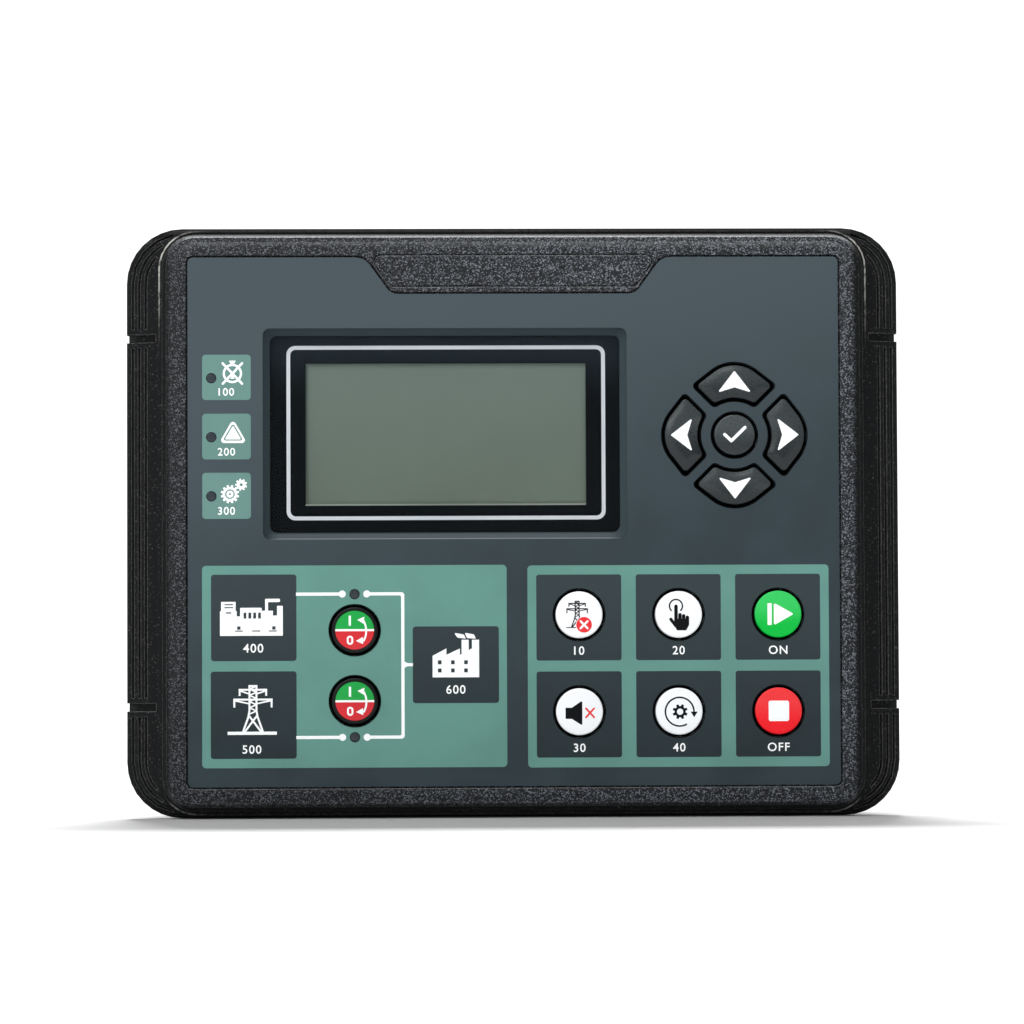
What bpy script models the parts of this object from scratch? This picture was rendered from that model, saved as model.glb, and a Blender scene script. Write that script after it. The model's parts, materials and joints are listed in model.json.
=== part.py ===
"""Genset controller for panel mounting, at its real size in metres.

Each piece is modelled lying on its back: X to the right, Y up the face and Z out of the face,
measured from the front of the mounting panel. One empty carries them all and stands them up,
so in the world the face looks along -Y, +Z is up and the origin is the centre of the cut-out.
"""

import math

import bmesh
import bpy

# Gaps between pieces
SEAT_GAP = 0.0003
LAMP_GAP = 0.00015
PLATE_GAP = 0.0005

# Face plate, from its left edge to its right edge
LEFT_MARGIN = 0.0038
RIGHT_MARGIN = 0.00285
INDICATOR_TILE = 0.01305
INDICATOR_TO_SCREEN = 0.0033
SCREEN_WIDTH = 0.0981
SCREEN_TO_NAV = 0.00915
NAV_MARGIN = 0.0086
MIMIC_WIDTH = 0.08185
PANEL_SPACING = 0.0055

# Face plate, from its top edge to its bottom edge
TOP_MARGIN = 0.01915
SCREEN_HEIGHT = 0.0569
UPPER_TO_LOWER = 0.007
BOTTOM_MARGIN = 0.00515
PLATE_CORNER = 0.0013

# Badge tab, which reaches down into the face plate
TAB_DEPTH = 0.0099
TAB_FOOT_WIDTH = 0.066
TAB_SLOPE_RUN = 0.0071
TAB_UPPER_FILLET = 0.0047
TAB_LOWER_FILLET = 0.0035
BADGE_INSET = 0.0018
BADGE_HEIGHT = 0.009
BADGE_CORNER = 0.002
BADGE_LINE = 0.0005

# Screen opening
SCREEN_CORNER = 0.0019
SCREEN_SLOPE = 0.0019
LENS_OFFSET_Y = -0.0001

# Navigation keys
NAV_RADIUS = 0.0196
NAV_APEX_ROUND = 0.0100
NAV_FLANK_TURN = math.radians(38)
NAV_INNER_RADIUS = 0.0092
NAV_WEB = 0.0028
NAV_CORNER = 0.0012
NAV_INNER_CORNER = 0.0014
NAV_DROP = 0.00065
CENTRE_HOLE_RADIUS = 0.00628
NAV_KEY_GAP = 0.0008

# Function keys and breaker keys
KEY_TILE_WIDTH = 0.0229
KEY_TILE_HEIGHT = 0.0233
KEY_PITCH_X = 0.0268
KEY_PITCH_Y = 0.02605
PANEL_BORDER = 0.00245
KEY_RISE = 0.0006
KEY_HOLE_RADIUS = 0.007
BREAKER_HOLE_RADIUS = 0.0069
ROUND_KEY_GAP = 0.0007
BREAKER_KEY_PITCH = 0.01905
BREAKER_KEY_RISE = 0.0002

# Lamps
LAMP_HOLE_RADIUS = 0.00142
LAMP_SHOULDER = 0.00035
LAMP_FOOT = 0.0012
LAMP_INSET = 0.0001
INDICATOR_OFFSET = 0.00255
INDICATOR_PITCH = 0.0159
INDICATOR_DROP = 0.00085
BREAKER_LAMP_PITCH = 0.0384

# Deck and flange of the bezel
DECK_BORDER_X = 0.0076
DECK_BORDER_Y = 0.00715
DECK_CORNER = 0.0098
DECK_ROUND = 0.003
DECK_ROUND_HEIGHT = 0.0034
DECK_STEP = 0.0044
DECK_LIP = 0.0006
WING_WIDTH = 0.0092
FLANGE_OVERHANG_Y = 0.00135
FLANGE_CORNER = 0.015
FLANGE_EDGE = 0.0035
FLANGE_EDGE_ROUND = 0.0006
GASKET_THICKNESS = 0.0012

# Ribbed grips on the wings
GROOVE_COUNT = 3
GROOVE_FIRST = 0.0017
GROOVE_PITCH = 0.00177
GROOVE_WIDTH = 0.0009
GROOVE_DEPTH = 0.0009
GROOVE_FADE = 0.35
GROOVE_FLOOR_SHARE = 0.7
GROOVE_END_MARGIN = 0.0014
NOTCH_HEIGHT = 0.0498
NOTCH_WIDTH = 0.0022
NOTCH_DEPTH = 0.001
NOTCH_NICK = 0.0006
NOTCH_LAND = 0.0014
WING_STRIP = 0.0012

# Stack behind the face, from the front board forward
BOARD_THICKNESS = 0.0016
SWITCH_HEIGHT = 0.0039
MAT_THICKNESS = 0.0011
KEY_TRAVEL = 0.001
KEY_FLANGE_THICKNESS = 0.001
KEY_LIP = 0.0006
HOLE_STEP = 0.0002
WALL_UNDER_PLATE = 0.0018
PLATE_THICKNESS = 0.0009
PLATE_INSET = 0.0002
KEY_PROUD = 0.0009
KEY_DOME = 0.0006
KEY_EDGE_ROUND = 0.0004
DOME_SHOULDER = 0.0014
DOME_SHOULDER_RISE = 0.00042
DOME_RUN = 0.0028
STEM_RADIUS = 0.0015
STEM_GAP = 0.0003
SWITCH_SIZE = 0.006
SWITCH_FLOOR = 0.0005

# Screen stack
LENS_THICKNESS = 0.0015
LENS_LAND = 0.0021
DISPLAY_WIDTH = 0.0845
DISPLAY_HEIGHT = 0.0475
DISPLAY_VIEW_WIDTH = 0.0762
DISPLAY_VIEW_HEIGHT = 0.0388
DISPLAY_THICKNESS = 0.0022
DISPLAY_FRAME_WALL = 0.0008
DISPLAY_FRAME_LIP = 0.0005

# Keypad mat
MAT_BORDER = 0.0025

# Rear housing
SEAT_BAND_X = 0.0115
SEAT_BAND_Y = 0.00925
CUTOUT_CLEARANCE = 0.001
HOUSING_WALL = 0.0022
INNER_CORNER = 0.0008
HOUSING_CHAMFER = 0.0018
RIM_ENGAGEMENT = 0.002
BOARD_BELOW_RIM = 0.0035
BOARD_SIDE_GAP = 0.0018
RIB_THICKNESS = 0.0025
RIB_HEIGHT = 0.0034
RIB_STEP = 0.0056
RIB_SPACING = 0.09
VENT_COUNT = 6
VENT_PITCH = 0.007
VENT_WIDTH = 0.0024
VENT_LENGTH = 0.026

# Case screws and their bosses
BOSS_INSET = 0.0043
BOSS_RADIUS = 0.0046
WELL_RADIUS = 0.0036
WELL_FLOOR = 0.003
BOSS_SETBACK = 0.001
BEZEL_BOSS_RADIUS = 0.0034
SCREW_RADIUS = 0.00135
SCREW_HEAD_RADIUS = 0.0028
SCREW_HEAD_HEIGHT = 0.0022
SCREW_SLOT = 0.0008

# Rear board and terminals
BOARD_SPACING = 0.02
LINK_LENGTH = 0.05
LINK_WIDTH = 0.0085
SOCKET_DEPTH = 0.0116
SOCKET_WALL = 0.0008
SOCKET_FLOOR = 0.0021
SOCKET_HEIGHT = 0.009
TERMINAL_PITCH = 0.00508
PLUG_DEPTH = 0.0077
PLUG_HEIGHT = 0.0112
PLUG_ENTRY = 0.0034
PLUG_ENTRY_DEPTH = 0.005
PLUG_END = 0.0009
TERMINAL_ROW = 0.048
UPPER_ROW_SPACING = 0.076
LOWER_ROW_SPACING = 0.08
UPPER_WAYS = (10, 8)
LOWER_WAYS = (12, 12)

# Panel clips
PANEL_GRIP = 0.0063
CLIP_GAP = 0.0027
CLIP_THICKNESS = 0.0022
CLIP_HEIGHT = 0.018
CLIP_END_MARGIN = 0.004
CLIP_FOOT_DEPTH = 0.005
CLIP_FOOT_REACH = 0.0088
CLIP_FOOT_HEIGHT = 0.012
CLIP_HOOK_SPACING = 0.01
CLIP_HOOK_WIDTH = 0.0024
CLIP_HOOK_LENGTH = 0.0074
CLIP_HOOK_REACH = 0.0012
CLIP_SCREW_RADIUS = 0.0019
CLIP_SCREW_HEAD_RADIUS = 0.0036
CLIP_SCREW_HEAD = 0.0028
CLIP_SCREW_BACK = 0.006

# Facets on arcs
CORNER_STEPS = 8
SMALL_STEPS = 3
KEY_SIDES = 20
HIDDEN_SIDES = 10
LAMP_SIDES = 8
STEM_SIDES = 6
GROOVE_STEPS = 4
DECK_ROUND_STEPS = 3

# Widths and heights that follow from the layout
FULL_TURN = 2 * math.pi
KEY_PANEL_WIDTH = 2 * KEY_PITCH_X + KEY_TILE_WIDTH + 2 * PANEL_BORDER
LOWER_HEIGHT = KEY_PITCH_Y + KEY_TILE_HEIGHT + 2 * PANEL_BORDER
UPPER_HEIGHT = max(SCREEN_HEIGHT, 2 * NAV_RADIUS)
UPPER_ROW = (
    LEFT_MARGIN + INDICATOR_TILE + INDICATOR_TO_SCREEN + SCREEN_WIDTH
    + SCREEN_TO_NAV + 2 * NAV_RADIUS + NAV_MARGIN
)
LOWER_ROW = LEFT_MARGIN + MIMIC_WIDTH + PANEL_SPACING + KEY_PANEL_WIDTH + RIGHT_MARGIN
PLATE_WIDTH = max(UPPER_ROW, LOWER_ROW)
PLATE_HEIGHT = TOP_MARGIN + UPPER_HEIGHT + UPPER_TO_LOWER + LOWER_HEIGHT + BOTTOM_MARGIN
DECK_WIDTH = PLATE_WIDTH + 2 * DECK_BORDER_X
DECK_HEIGHT = PLATE_HEIGHT + 2 * DECK_BORDER_Y
FLANGE_WIDTH = DECK_WIDTH + 2 * WING_WIDTH
FLANGE_HEIGHT = DECK_HEIGHT + 2 * FLANGE_OVERHANG_Y
CUTOUT_WIDTH = FLANGE_WIDTH - 2 * SEAT_BAND_X
CUTOUT_HEIGHT = FLANGE_HEIGHT - 2 * SEAT_BAND_Y
HOUSING_WIDTH = CUTOUT_WIDTH - 2 * CUTOUT_CLEARANCE
HOUSING_HEIGHT = CUTOUT_HEIGHT - 2 * CUTOUT_CLEARANCE
INNER_WIDTH = HOUSING_WIDTH - 2 * HOUSING_WALL
INNER_HEIGHT = HOUSING_HEIGHT - 2 * HOUSING_WALL
HOUSING_CORNER = INNER_CORNER + HOUSING_WALL

# Levels in front of the mounting panel, from the back of the bezel to the deck
BEZEL_BACK = GASKET_THICKNESS + SEAT_GAP
RIM_FRONT = BEZEL_BACK + RIM_ENGAGEMENT
BOARD_BACK = RIM_FRONT - BOARD_BELOW_RIM
BOARD_FRONT = BOARD_BACK + BOARD_THICKNESS
SWITCH_BACK = BOARD_FRONT + SEAT_GAP
SWITCH_FRONT = SWITCH_BACK + SWITCH_HEIGHT
MAT_BACK = SWITCH_FRONT + SEAT_GAP
MAT_FRONT = MAT_BACK + MAT_THICKNESS
KEY_FLANGE_BACK = MAT_FRONT + KEY_TRAVEL + SEAT_GAP
KEY_FLANGE_FRONT = KEY_FLANGE_BACK + KEY_FLANGE_THICKNESS
WALL_BACK = KEY_FLANGE_FRONT + SEAT_GAP
RECESS_FLOOR = WALL_BACK + WALL_UNDER_PLATE
PLATE_BACK = RECESS_FLOOR + SEAT_GAP
PLATE_FRONT = PLATE_BACK + PLATE_THICKNESS
DECK_FRONT = PLATE_FRONT + PLATE_INSET
KEY_TOP = PLATE_FRONT + KEY_PROUD
STEM_BACK = SWITCH_BACK + SWITCH_FLOOR + KEY_TRAVEL + STEM_GAP
LENS_FRONT = WALL_BACK - SEAT_GAP
LENS_BACK = LENS_FRONT - LENS_THICKNESS
WING_TOP = DECK_FRONT - DECK_STEP
FLANGE_FRONT = BEZEL_BACK + FLANGE_EDGE

# Levels behind the mounting panel
REAR_BOARD_FRONT = BOARD_BACK - BOARD_SPACING
REAR_BOARD_BACK = REAR_BOARD_FRONT - BOARD_THICKNESS
SOCKET_FRONT = REAR_BOARD_BACK - SEAT_GAP
SOCKET_BACK = SOCKET_FRONT - SOCKET_DEPTH
HOUSING_BACK = SOCKET_BACK - PLATE_GAP
PLUG_SHOULDER = HOUSING_BACK - SEAT_GAP
PLUG_BACK = PLUG_SHOULDER - PLUG_DEPTH
WELL_FRONT = BOARD_BACK - BOSS_SETBACK
WELL_BACK = WELL_FRONT - WELL_FLOOR

# Centres on the face
PLATE_LEFT = -PLATE_WIDTH / 2
PLATE_RIGHT = PLATE_WIDTH / 2
SCREEN_X = PLATE_LEFT + LEFT_MARGIN + INDICATOR_TILE + INDICATOR_TO_SCREEN + SCREEN_WIDTH / 2
SCREEN_Y = PLATE_HEIGHT / 2 - TOP_MARGIN - UPPER_HEIGHT / 2
NAV_X = PLATE_RIGHT - NAV_MARGIN - NAV_RADIUS
NAV_Y = SCREEN_Y - NAV_DROP
LOWER_Y = -PLATE_HEIGHT / 2 + BOTTOM_MARGIN + LOWER_HEIGHT / 2
KEY_PANEL_X = PLATE_RIGHT - RIGHT_MARGIN - KEY_PANEL_WIDTH / 2
BREAKER_X = PLATE_LEFT + LEFT_MARGIN + MIMIC_WIDTH / 2
INDICATOR_X = PLATE_LEFT + LEFT_MARGIN + INDICATOR_OFFSET
NAV_KEY_X = (NAV_RADIUS + NAV_INNER_RADIUS) / 2
LENS_Y = SCREEN_Y + LENS_OFFSET_Y
BOSS_X = INNER_WIDTH / 2 - BOSS_INSET
BOSS_Y = INNER_HEIGHT / 2 - BOSS_INSET

NAV_KEYS = ("key_right", "key_up", "key_left", "key_down")
FUNCTION_KEYS = (
    (("key_lamp_test", "key_white"), ("key_auto", "key_white"), ("key_stop", "key_red")),
    (("key_load_test", "key_white"), ("key_manual", "key_white"), ("key_start", "key_green")),
)
BREAKER_KEYS = ("key_mains_breaker", "key_genset_breaker")

# Colours as they look on screen, roughness and metallic value
FINISHES = {
    "bezel_black": ((0.16, 0.17, 0.18), 0.55, 0.0),
    "plate_slate": ((0.26, 0.31, 0.33), 0.5, 0.0),
    "lens_clear": ((0.09, 0.1, 0.12), 0.1, 0.0),
    "display": ((0.42, 0.47, 0.43), 0.3, 0.0),
    "steel": ((0.7, 0.7, 0.7), 0.35, 1.0),
    "light_guide": ((0.9, 0.92, 0.9), 0.3, 0.0),
    "mat_black": ((0.1, 0.1, 0.1), 0.8, 0.0),
    "nav_black": ((0.1, 0.12, 0.13), 0.25, 0.0),
    "key_white": ((0.95, 0.96, 0.96), 0.3, 0.0),
    "key_green": ((0.2, 0.78, 0.38), 0.3, 0.0),
    "key_red": ((0.9, 0.2, 0.2), 0.3, 0.0),
    "lamp_dark": ((0.22, 0.26, 0.27), 0.3, 0.0),
    "board_green": ((0.1, 0.3, 0.2), 0.5, 0.0),
    "switch_black": ((0.12, 0.12, 0.12), 0.5, 0.0),
    "housing_black": ((0.13, 0.13, 0.14), 0.6, 0.0),
    "gasket_black": ((0.08, 0.08, 0.08), 0.9, 0.0),
    "terminal_green": ((0.16, 0.5, 0.28), 0.5, 0.0),
}


def clear_scene():
    for obj in list(bpy.data.objects):
        bpy.data.objects.remove(obj, do_unlink=True)


def linear(value):
    """One colour channel as it looks on screen, turned into a linear value."""
    if value <= 0.04045:
        return value / 12.92
    return ((value + 0.055) / 1.055) ** 2.4


def material(name):
    found = bpy.data.materials.get(name)
    if found:
        return found
    colour, roughness, metallic = FINISHES[name]
    made = bpy.data.materials.new(name)
    made.use_nodes = True
    shader = made.node_tree.nodes["Principled BSDF"]
    shader.inputs["Base Color"].default_value = (*[linear(part) for part in colour], 1)
    shader.inputs["Roughness"].default_value = roughness
    shader.inputs["Metallic"].default_value = metallic
    return made


# Outlines, as anticlockwise lists of points


def arc(centre, radius, start, end, steps):
    """Points on an arc, both ends included, with the angles in radians."""
    angles = [start + (end - start) * i / steps for i in range(steps + 1)]
    return [
        (centre[0] + radius * math.cos(a), centre[1] + radius * math.sin(a)) for a in angles
    ]


def without_doubles(points):
    kept = []
    for point in points:
        if not kept or math.dist(point, kept[-1]) > 1e-6:
            kept.append(point)
    if math.dist(kept[0], kept[-1]) <= 1e-6:
        kept.pop()
    return kept


def circle(radius, sides, centre=(0, 0)):
    return arc(centre, radius, 0, FULL_TURN, sides)[:-1]


def rectangle(width, height, centre=(0, 0)):
    x, y = width / 2, height / 2
    return [
        (centre[0] + i * x, centre[1] + j * y) for i, j in ((-1, -1), (1, -1), (1, 1), (-1, 1))
    ]


def rounded_rectangle(width, height, radius, steps=SMALL_STEPS, centre=(0, 0)):
    x, y = width / 2 - radius, height / 2 - radius
    points = []
    for quarter, (i, j) in enumerate(((1, 1), (-1, 1), (-1, -1), (1, -1))):
        middle = (centre[0] + i * x, centre[1] + j * y)
        start = quarter * FULL_TURN / 4
        points += arc(middle, radius, start, start + FULL_TURN / 4, steps)
    return points


def filleted(corners, steps=SMALL_STEPS):
    """A polygon given as (x, y, radius) corners, with an arc at each corner that has a radius."""
    points = []
    for i, (x, y, radius) in enumerate(corners):
        before, after = corners[i - 1], corners[(i + 1) % len(corners)]
        if radius <= 0:
            points.append((x, y))
            continue
        back = math.atan2(before[1] - y, before[0] - x)
        ahead = math.atan2(after[1] - y, after[0] - x)
        spread = (ahead - back) % FULL_TURN
        half = spread / 2
        turned_left = spread > math.pi
        inner = (FULL_TURN - spread) / 2 if turned_left else half
        reach = radius / math.sin(inner)
        middle_angle = back + half + (math.pi if turned_left else 0)
        centre = (x + reach * math.cos(middle_angle), y + reach * math.sin(middle_angle))
        sweep = math.pi - 2 * inner
        outward = middle_angle + math.pi
        direction = 1 if turned_left else -1
        start = outward - direction * sweep / 2
        points += arc(centre, radius, start, start + direction * sweep, steps)
    return without_doubles(points)


def moved(points, dx, dy):
    return [(x + dx, y + dy) for x, y in points]


def turned(points, quarters):
    """The points turned by quarter turns about the origin."""
    for _ in range(quarters):
        points = [(-y, x) for x, y in points]
    return points


def nav_sector(inset, inner_inset, corner=NAV_CORNER, inner_corner=NAV_INNER_CORNER, fine=True):
    """The arrow key outline that points along +X, drawn in by the inset on its outer sides."""
    corner_steps, apex_steps, inner_steps = (SMALL_STEPS, 4, 3) if fine else (2, 3, 2)
    centre = NAV_RADIUS - NAV_APEX_ROUND
    apex = NAV_APEX_ROUND - inset
    side = NAV_WEB / 2 + inset
    inner = NAV_INNER_RADIUS + inner_inset
    near = inner + inner_corner
    diagonal = FULL_TURN / 8
    normal = diagonal + FULL_TURN / 4
    inner_turn = diagonal - math.asin((side + inner_corner) / near)
    reach = centre * math.cos(NAV_FLANK_TURN) + apex - corner
    across = side + corner
    along = reach - across * math.cos(diagonal + NAV_FLANK_TURN)
    along /= math.cos(diagonal - NAV_FLANK_TURN)
    corner_x = (along + across) * math.cos(diagonal)
    corner_y = (along - across) * math.sin(diagonal)

    def polar(radius, angle):
        return (radius * math.cos(angle), radius * math.sin(angle))

    points = arc(polar(near, -inner_turn), inner_corner, -inner_turn + math.pi,
                 -normal + FULL_TURN, 2)
    points += arc((corner_x, -corner_y), corner, -normal, -NAV_FLANK_TURN, corner_steps)
    points += arc((centre, 0), apex, -NAV_FLANK_TURN, NAV_FLANK_TURN, apex_steps)
    points += arc((corner_x, corner_y), corner, NAV_FLANK_TURN, normal, corner_steps)
    points += arc(polar(near, inner_turn), inner_corner, normal, inner_turn + math.pi, 2)
    points += arc((0, 0), inner, inner_turn, -inner_turn, inner_steps)
    return without_doubles(points)


def plate_outline(grow=0):
    """The face plate's outline with its notch for the badge tab, grown on all sides."""
    right, top = PLATE_WIDTH / 2 + grow, PLATE_HEIGHT / 2 + grow
    slope = math.atan2(TAB_DEPTH, TAB_SLOPE_RUN)
    shift = grow * math.tan(slope / 2)
    foot_x = TAB_FOOT_WIDTH / 2 - shift
    foot_y = PLATE_HEIGHT / 2 - TAB_DEPTH + grow
    head_x = foot_x + TAB_SLOPE_RUN
    corner = PLATE_CORNER + grow
    upper, lower = TAB_UPPER_FILLET + grow, TAB_LOWER_FILLET - grow
    return filleted([
        (-right, -top, corner), (right, -top, corner), (right, top, corner),
        (head_x, top, upper), (foot_x, foot_y, lower),
        (-foot_x, foot_y, lower), (-head_x, top, upper), (-right, top, corner),
    ])


def badge_outline(inset):
    """The trapezoid on the badge tab, parallel to the tab's own sides."""
    slope = math.atan2(TAB_DEPTH, TAB_SLOPE_RUN)
    foot_y = PLATE_HEIGHT / 2 - TAB_DEPTH + BADGE_INSET + inset
    head_y = foot_y + BADGE_HEIGHT - 2 * inset
    foot_x = TAB_FOOT_WIDTH / 2 - (inset - BADGE_LINE) * math.tan(slope / 2)
    head_x = foot_x + (head_y - foot_y) * TAB_SLOPE_RUN / TAB_DEPTH
    corner = BADGE_CORNER - inset
    return filleted([
        (-foot_x, foot_y, corner), (foot_x, foot_y, corner),
        (head_x, head_y, corner), (-head_x, head_y, corner),
    ])


# Meshes


def ring(bm, points, z):
    return [bm.verts.new((x, y, z)) for x, y in points]


def wall(bm, lower, upper):
    for i in range(len(lower)):
        j = (i + 1) % len(lower)
        bm.faces.new((lower[i], lower[j], upper[j], upper[i]))


def lid(bm, rings):
    """A flat face inside the first ring, with the other rings as its holes."""
    if len(rings) == 1:
        bm.faces.new(rings[0])
        return
    edges = []
    for points in rings:
        for i, point in enumerate(points):
            after = points[(i + 1) % len(points)]
            edges.append(bm.edges.get((point, after)) or bm.edges.new((point, after)))
    bmesh.ops.triangle_fill(bm, use_beauty=True, edges=edges, normal=(0, 0, 1))


def loft(bm, sections):
    """A closed solid through sections of (points, z) with equal counts."""
    rings = [ring(bm, points, z) for points, z in sections]
    for lower, upper in zip(rings, rings[1:]):
        wall(bm, lower, upper)
    lid(bm, [rings[0]])
    lid(bm, [rings[-1]])


def prism(bm, points, back, front):
    loft(bm, [(points, back), (points, front)])


def plate(bm, outline, holes, back, front):
    """A flat plate with holes right through it."""
    lower = [ring(bm, points, back) for points in [outline, *holes]]
    upper = [ring(bm, points, front) for points in [outline, *holes]]
    for below, above in zip(lower, upper):
        wall(bm, below, above)
    lid(bm, lower)
    lid(bm, upper)


def welled_block(bm, outline, wells, mouth, end, floor):
    """A block from its mouth to its end, with blind wells that run in from the mouth."""
    mouth_rings = [ring(bm, points, mouth) for points in [outline, *wells]]
    end_ring = ring(bm, outline, end)
    wall(bm, mouth_rings[0], end_ring)
    for points, opening in zip(wells, mouth_rings[1:]):
        bottom = ring(bm, points, floor)
        wall(bm, opening, bottom)
        lid(bm, [bottom])
    lid(bm, mouth_rings)
    lid(bm, [end_ring])


def new_object(name, bm, finish, location=(0, 0, 0), helper=False):
    bmesh.ops.recalc_face_normals(bm, faces=bm.faces)
    mesh = bpy.data.meshes.new(name)
    bm.to_mesh(mesh)
    bm.free()
    mesh.shade_smooth()
    mesh.set_sharp_from_angle(angle=math.radians(32))
    mesh.materials.append(material(finish))
    obj = bpy.data.objects.new(name, mesh)
    bpy.context.scene.collection.objects.link(obj)
    obj.parent = bpy.data.objects["controller"]
    obj.location = location
    if helper:
        obj.hide_render = True
        obj.display_type = "WIRE"
    return obj


def boolean(obj, other, operation):
    modifier = obj.modifiers.new(other.name, "BOOLEAN")
    modifier.operation = operation
    modifier.solver = "EXACT"
    modifier.object = other


# Holes in the face


def function_key_places():
    for row, keys_in_row in enumerate(FUNCTION_KEYS):
        y = LOWER_Y + (row - 0.5) * KEY_PITCH_Y + KEY_RISE
        for column, (name, finish) in enumerate(keys_in_row):
            yield name, (KEY_PANEL_X + (column - 1) * KEY_PITCH_X, y), finish


def breaker_key_places():
    for row, name in enumerate(BREAKER_KEYS):
        yield name, (BREAKER_X, LOWER_Y + BREAKER_KEY_RISE + (row - 0.5) * BREAKER_KEY_PITCH)


def lamp_places():
    for i in range(3):
        y = SCREEN_Y - INDICATOR_DROP + (1 - i) * INDICATOR_PITCH
        yield f"indicator_lens_{i + 1}", (INDICATOR_X, y)
    for name, side in (("breaker_lens_upper", 0.5), ("breaker_lens_lower", -0.5)):
        yield name, (BREAKER_X, LOWER_Y + BREAKER_KEY_RISE + side * BREAKER_LAMP_PITCH)


def round_holes(extra, sides):
    """Outlines of the round key holes, wider than in the face plate by the extra."""
    holes = [circle(KEY_HOLE_RADIUS + extra, sides, at) for _, at, _ in function_key_places()]
    holes += [circle(BREAKER_HOLE_RADIUS + extra, sides, at) for _, at in breaker_key_places()]
    holes.append(circle(CENTRE_HOLE_RADIUS + extra, sides, (NAV_X, NAV_Y)))
    return holes


def nav_holes(extra, fine):
    sector = nav_sector(-extra, -extra, fine=fine)
    return [moved(turned(sector, quarters), NAV_X, NAV_Y) for quarters in range(len(NAV_KEYS))]


def lamp_holes():
    return [circle(LAMP_HOLE_RADIUS, LAMP_SIDES, at) for _, at in lamp_places()]


def key_centres():
    """Where each key's stem meets its switch."""
    for quarters, name in enumerate(NAV_KEYS):
        x, y = turned([(NAV_KEY_X, 0)], quarters)[0]
        yield name, (NAV_X + x, NAV_Y + y)
    yield "key_centre", (NAV_X, NAV_Y)
    yield from breaker_key_places()
    for name, at, _ in function_key_places():
        yield name, at


# The bezel


def flange_outline(inset, steps=CORNER_STEPS):
    return rounded_rectangle(FLANGE_WIDTH - 2 * inset, FLANGE_HEIGHT - 2 * inset,
                             FLANGE_CORNER - inset, steps)


def deck_outline(inset):
    return rounded_rectangle(DECK_WIDTH - 2 * inset, DECK_HEIGHT - 2 * inset,
                             DECK_CORNER - inset, CORNER_STEPS)


def bezel_body(bm):
    """The solid moulding: flange, sloping wings, lip and the deck's rounded edge."""
    lip_top = WING_TOP + DECK_LIP
    sections = [
        (flange_outline(0), BEZEL_BACK),
        (flange_outline(0), FLANGE_FRONT),
        (flange_outline(FLANGE_EDGE_ROUND), FLANGE_FRONT + FLANGE_EDGE_ROUND),
        (deck_outline(-DECK_LIP), WING_TOP),
        (deck_outline(0), lip_top),
        (deck_outline(DECK_LIP), lip_top + DECK_LIP / 2),
    ]
    base = DECK_FRONT - DECK_ROUND_HEIGHT
    for step in range(1, DECK_ROUND_STEPS + 1):
        turn = step / DECK_ROUND_STEPS * FULL_TURN / 4
        inset = DECK_LIP + (DECK_ROUND - DECK_LIP) * (1 - math.cos(turn))
        sections.append((deck_outline(inset), base + DECK_ROUND_HEIGHT * math.sin(turn)))
    loft(bm, sections)


def bezel_core(bm):
    """The space behind the face: a shallow pocket for the housing's rim, then a deep one."""
    below = BEZEL_BACK - DECK_STEP
    rim_floor = RIM_FRONT + SEAT_GAP
    rim = rounded_rectangle(HOUSING_WIDTH + 2 * SEAT_GAP, HOUSING_HEIGHT + 2 * SEAT_GAP,
                            HOUSING_CORNER + SEAT_GAP)
    deep = rounded_rectangle(INNER_WIDTH - 2 * PLATE_GAP, INNER_HEIGHT - 2 * PLATE_GAP,
                             HOUSING_CORNER)
    loft(bm, [(rim, below), (rim, rim_floor), (deep, rim_floor), (deep, WALL_BACK)])


def boss_places():
    return [(i * BOSS_X, j * BOSS_Y) for i, j in ((1, 1), (-1, 1), (-1, -1), (1, -1))]


def distance_outside(x, y, width, height, radius):
    """How far a point lies outside a rounded rectangle, negative inside it."""
    dx = abs(x) - (width / 2 - radius)
    dy = abs(y) - (height / 2 - radius)
    return math.hypot(max(dx, 0), max(dy, 0)) + min(max(dx, dy), 0) - radius


def wing_height(x, y):
    """Height of the sloping wing between the flange's edge and the deck's foot."""
    edge = -distance_outside(x, y, FLANGE_WIDTH, FLANGE_HEIGHT, FLANGE_CORNER)
    edge = max(edge - FLANGE_EDGE_ROUND, 0)
    deck = max(distance_outside(x, y, DECK_WIDTH, DECK_HEIGHT, DECK_CORNER) - DECK_LIP, 0)
    low = FLANGE_FRONT + FLANGE_EDGE_ROUND
    return low + (WING_TOP - low) * edge / max(edge + deck, SEAT_GAP)


def groove_path(inset):
    """A groove in the upper right wing, from above the notch round the corner to its end."""
    x = FLANGE_WIDTH / 2 - inset
    start = NOTCH_HEIGHT + NOTCH_WIDTH / 2 + NOTCH_LAND
    centre = (FLANGE_WIDTH / 2 - FLANGE_CORNER, FLANGE_HEIGHT / 2 - FLANGE_CORNER)
    radius = FLANGE_CORNER - inset
    end = 0
    while end < FULL_TURN / 4:
        px = centre[0] + radius * math.cos(end)
        py = centre[1] + radius * math.sin(end)
        outside = distance_outside(px, py, DECK_WIDTH, DECK_HEIGHT, DECK_CORNER)
        if outside < GROOVE_END_MARGIN:
            break
        end += math.radians(1)
    return [(x, start, 0)] + [
        (centre[0] + radius * math.cos(a), centre[1] + radius * math.sin(a), a)
        for a in [end * i / GROOVE_STEPS for i in range(GROOVE_STEPS + 1)]
    ]


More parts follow.
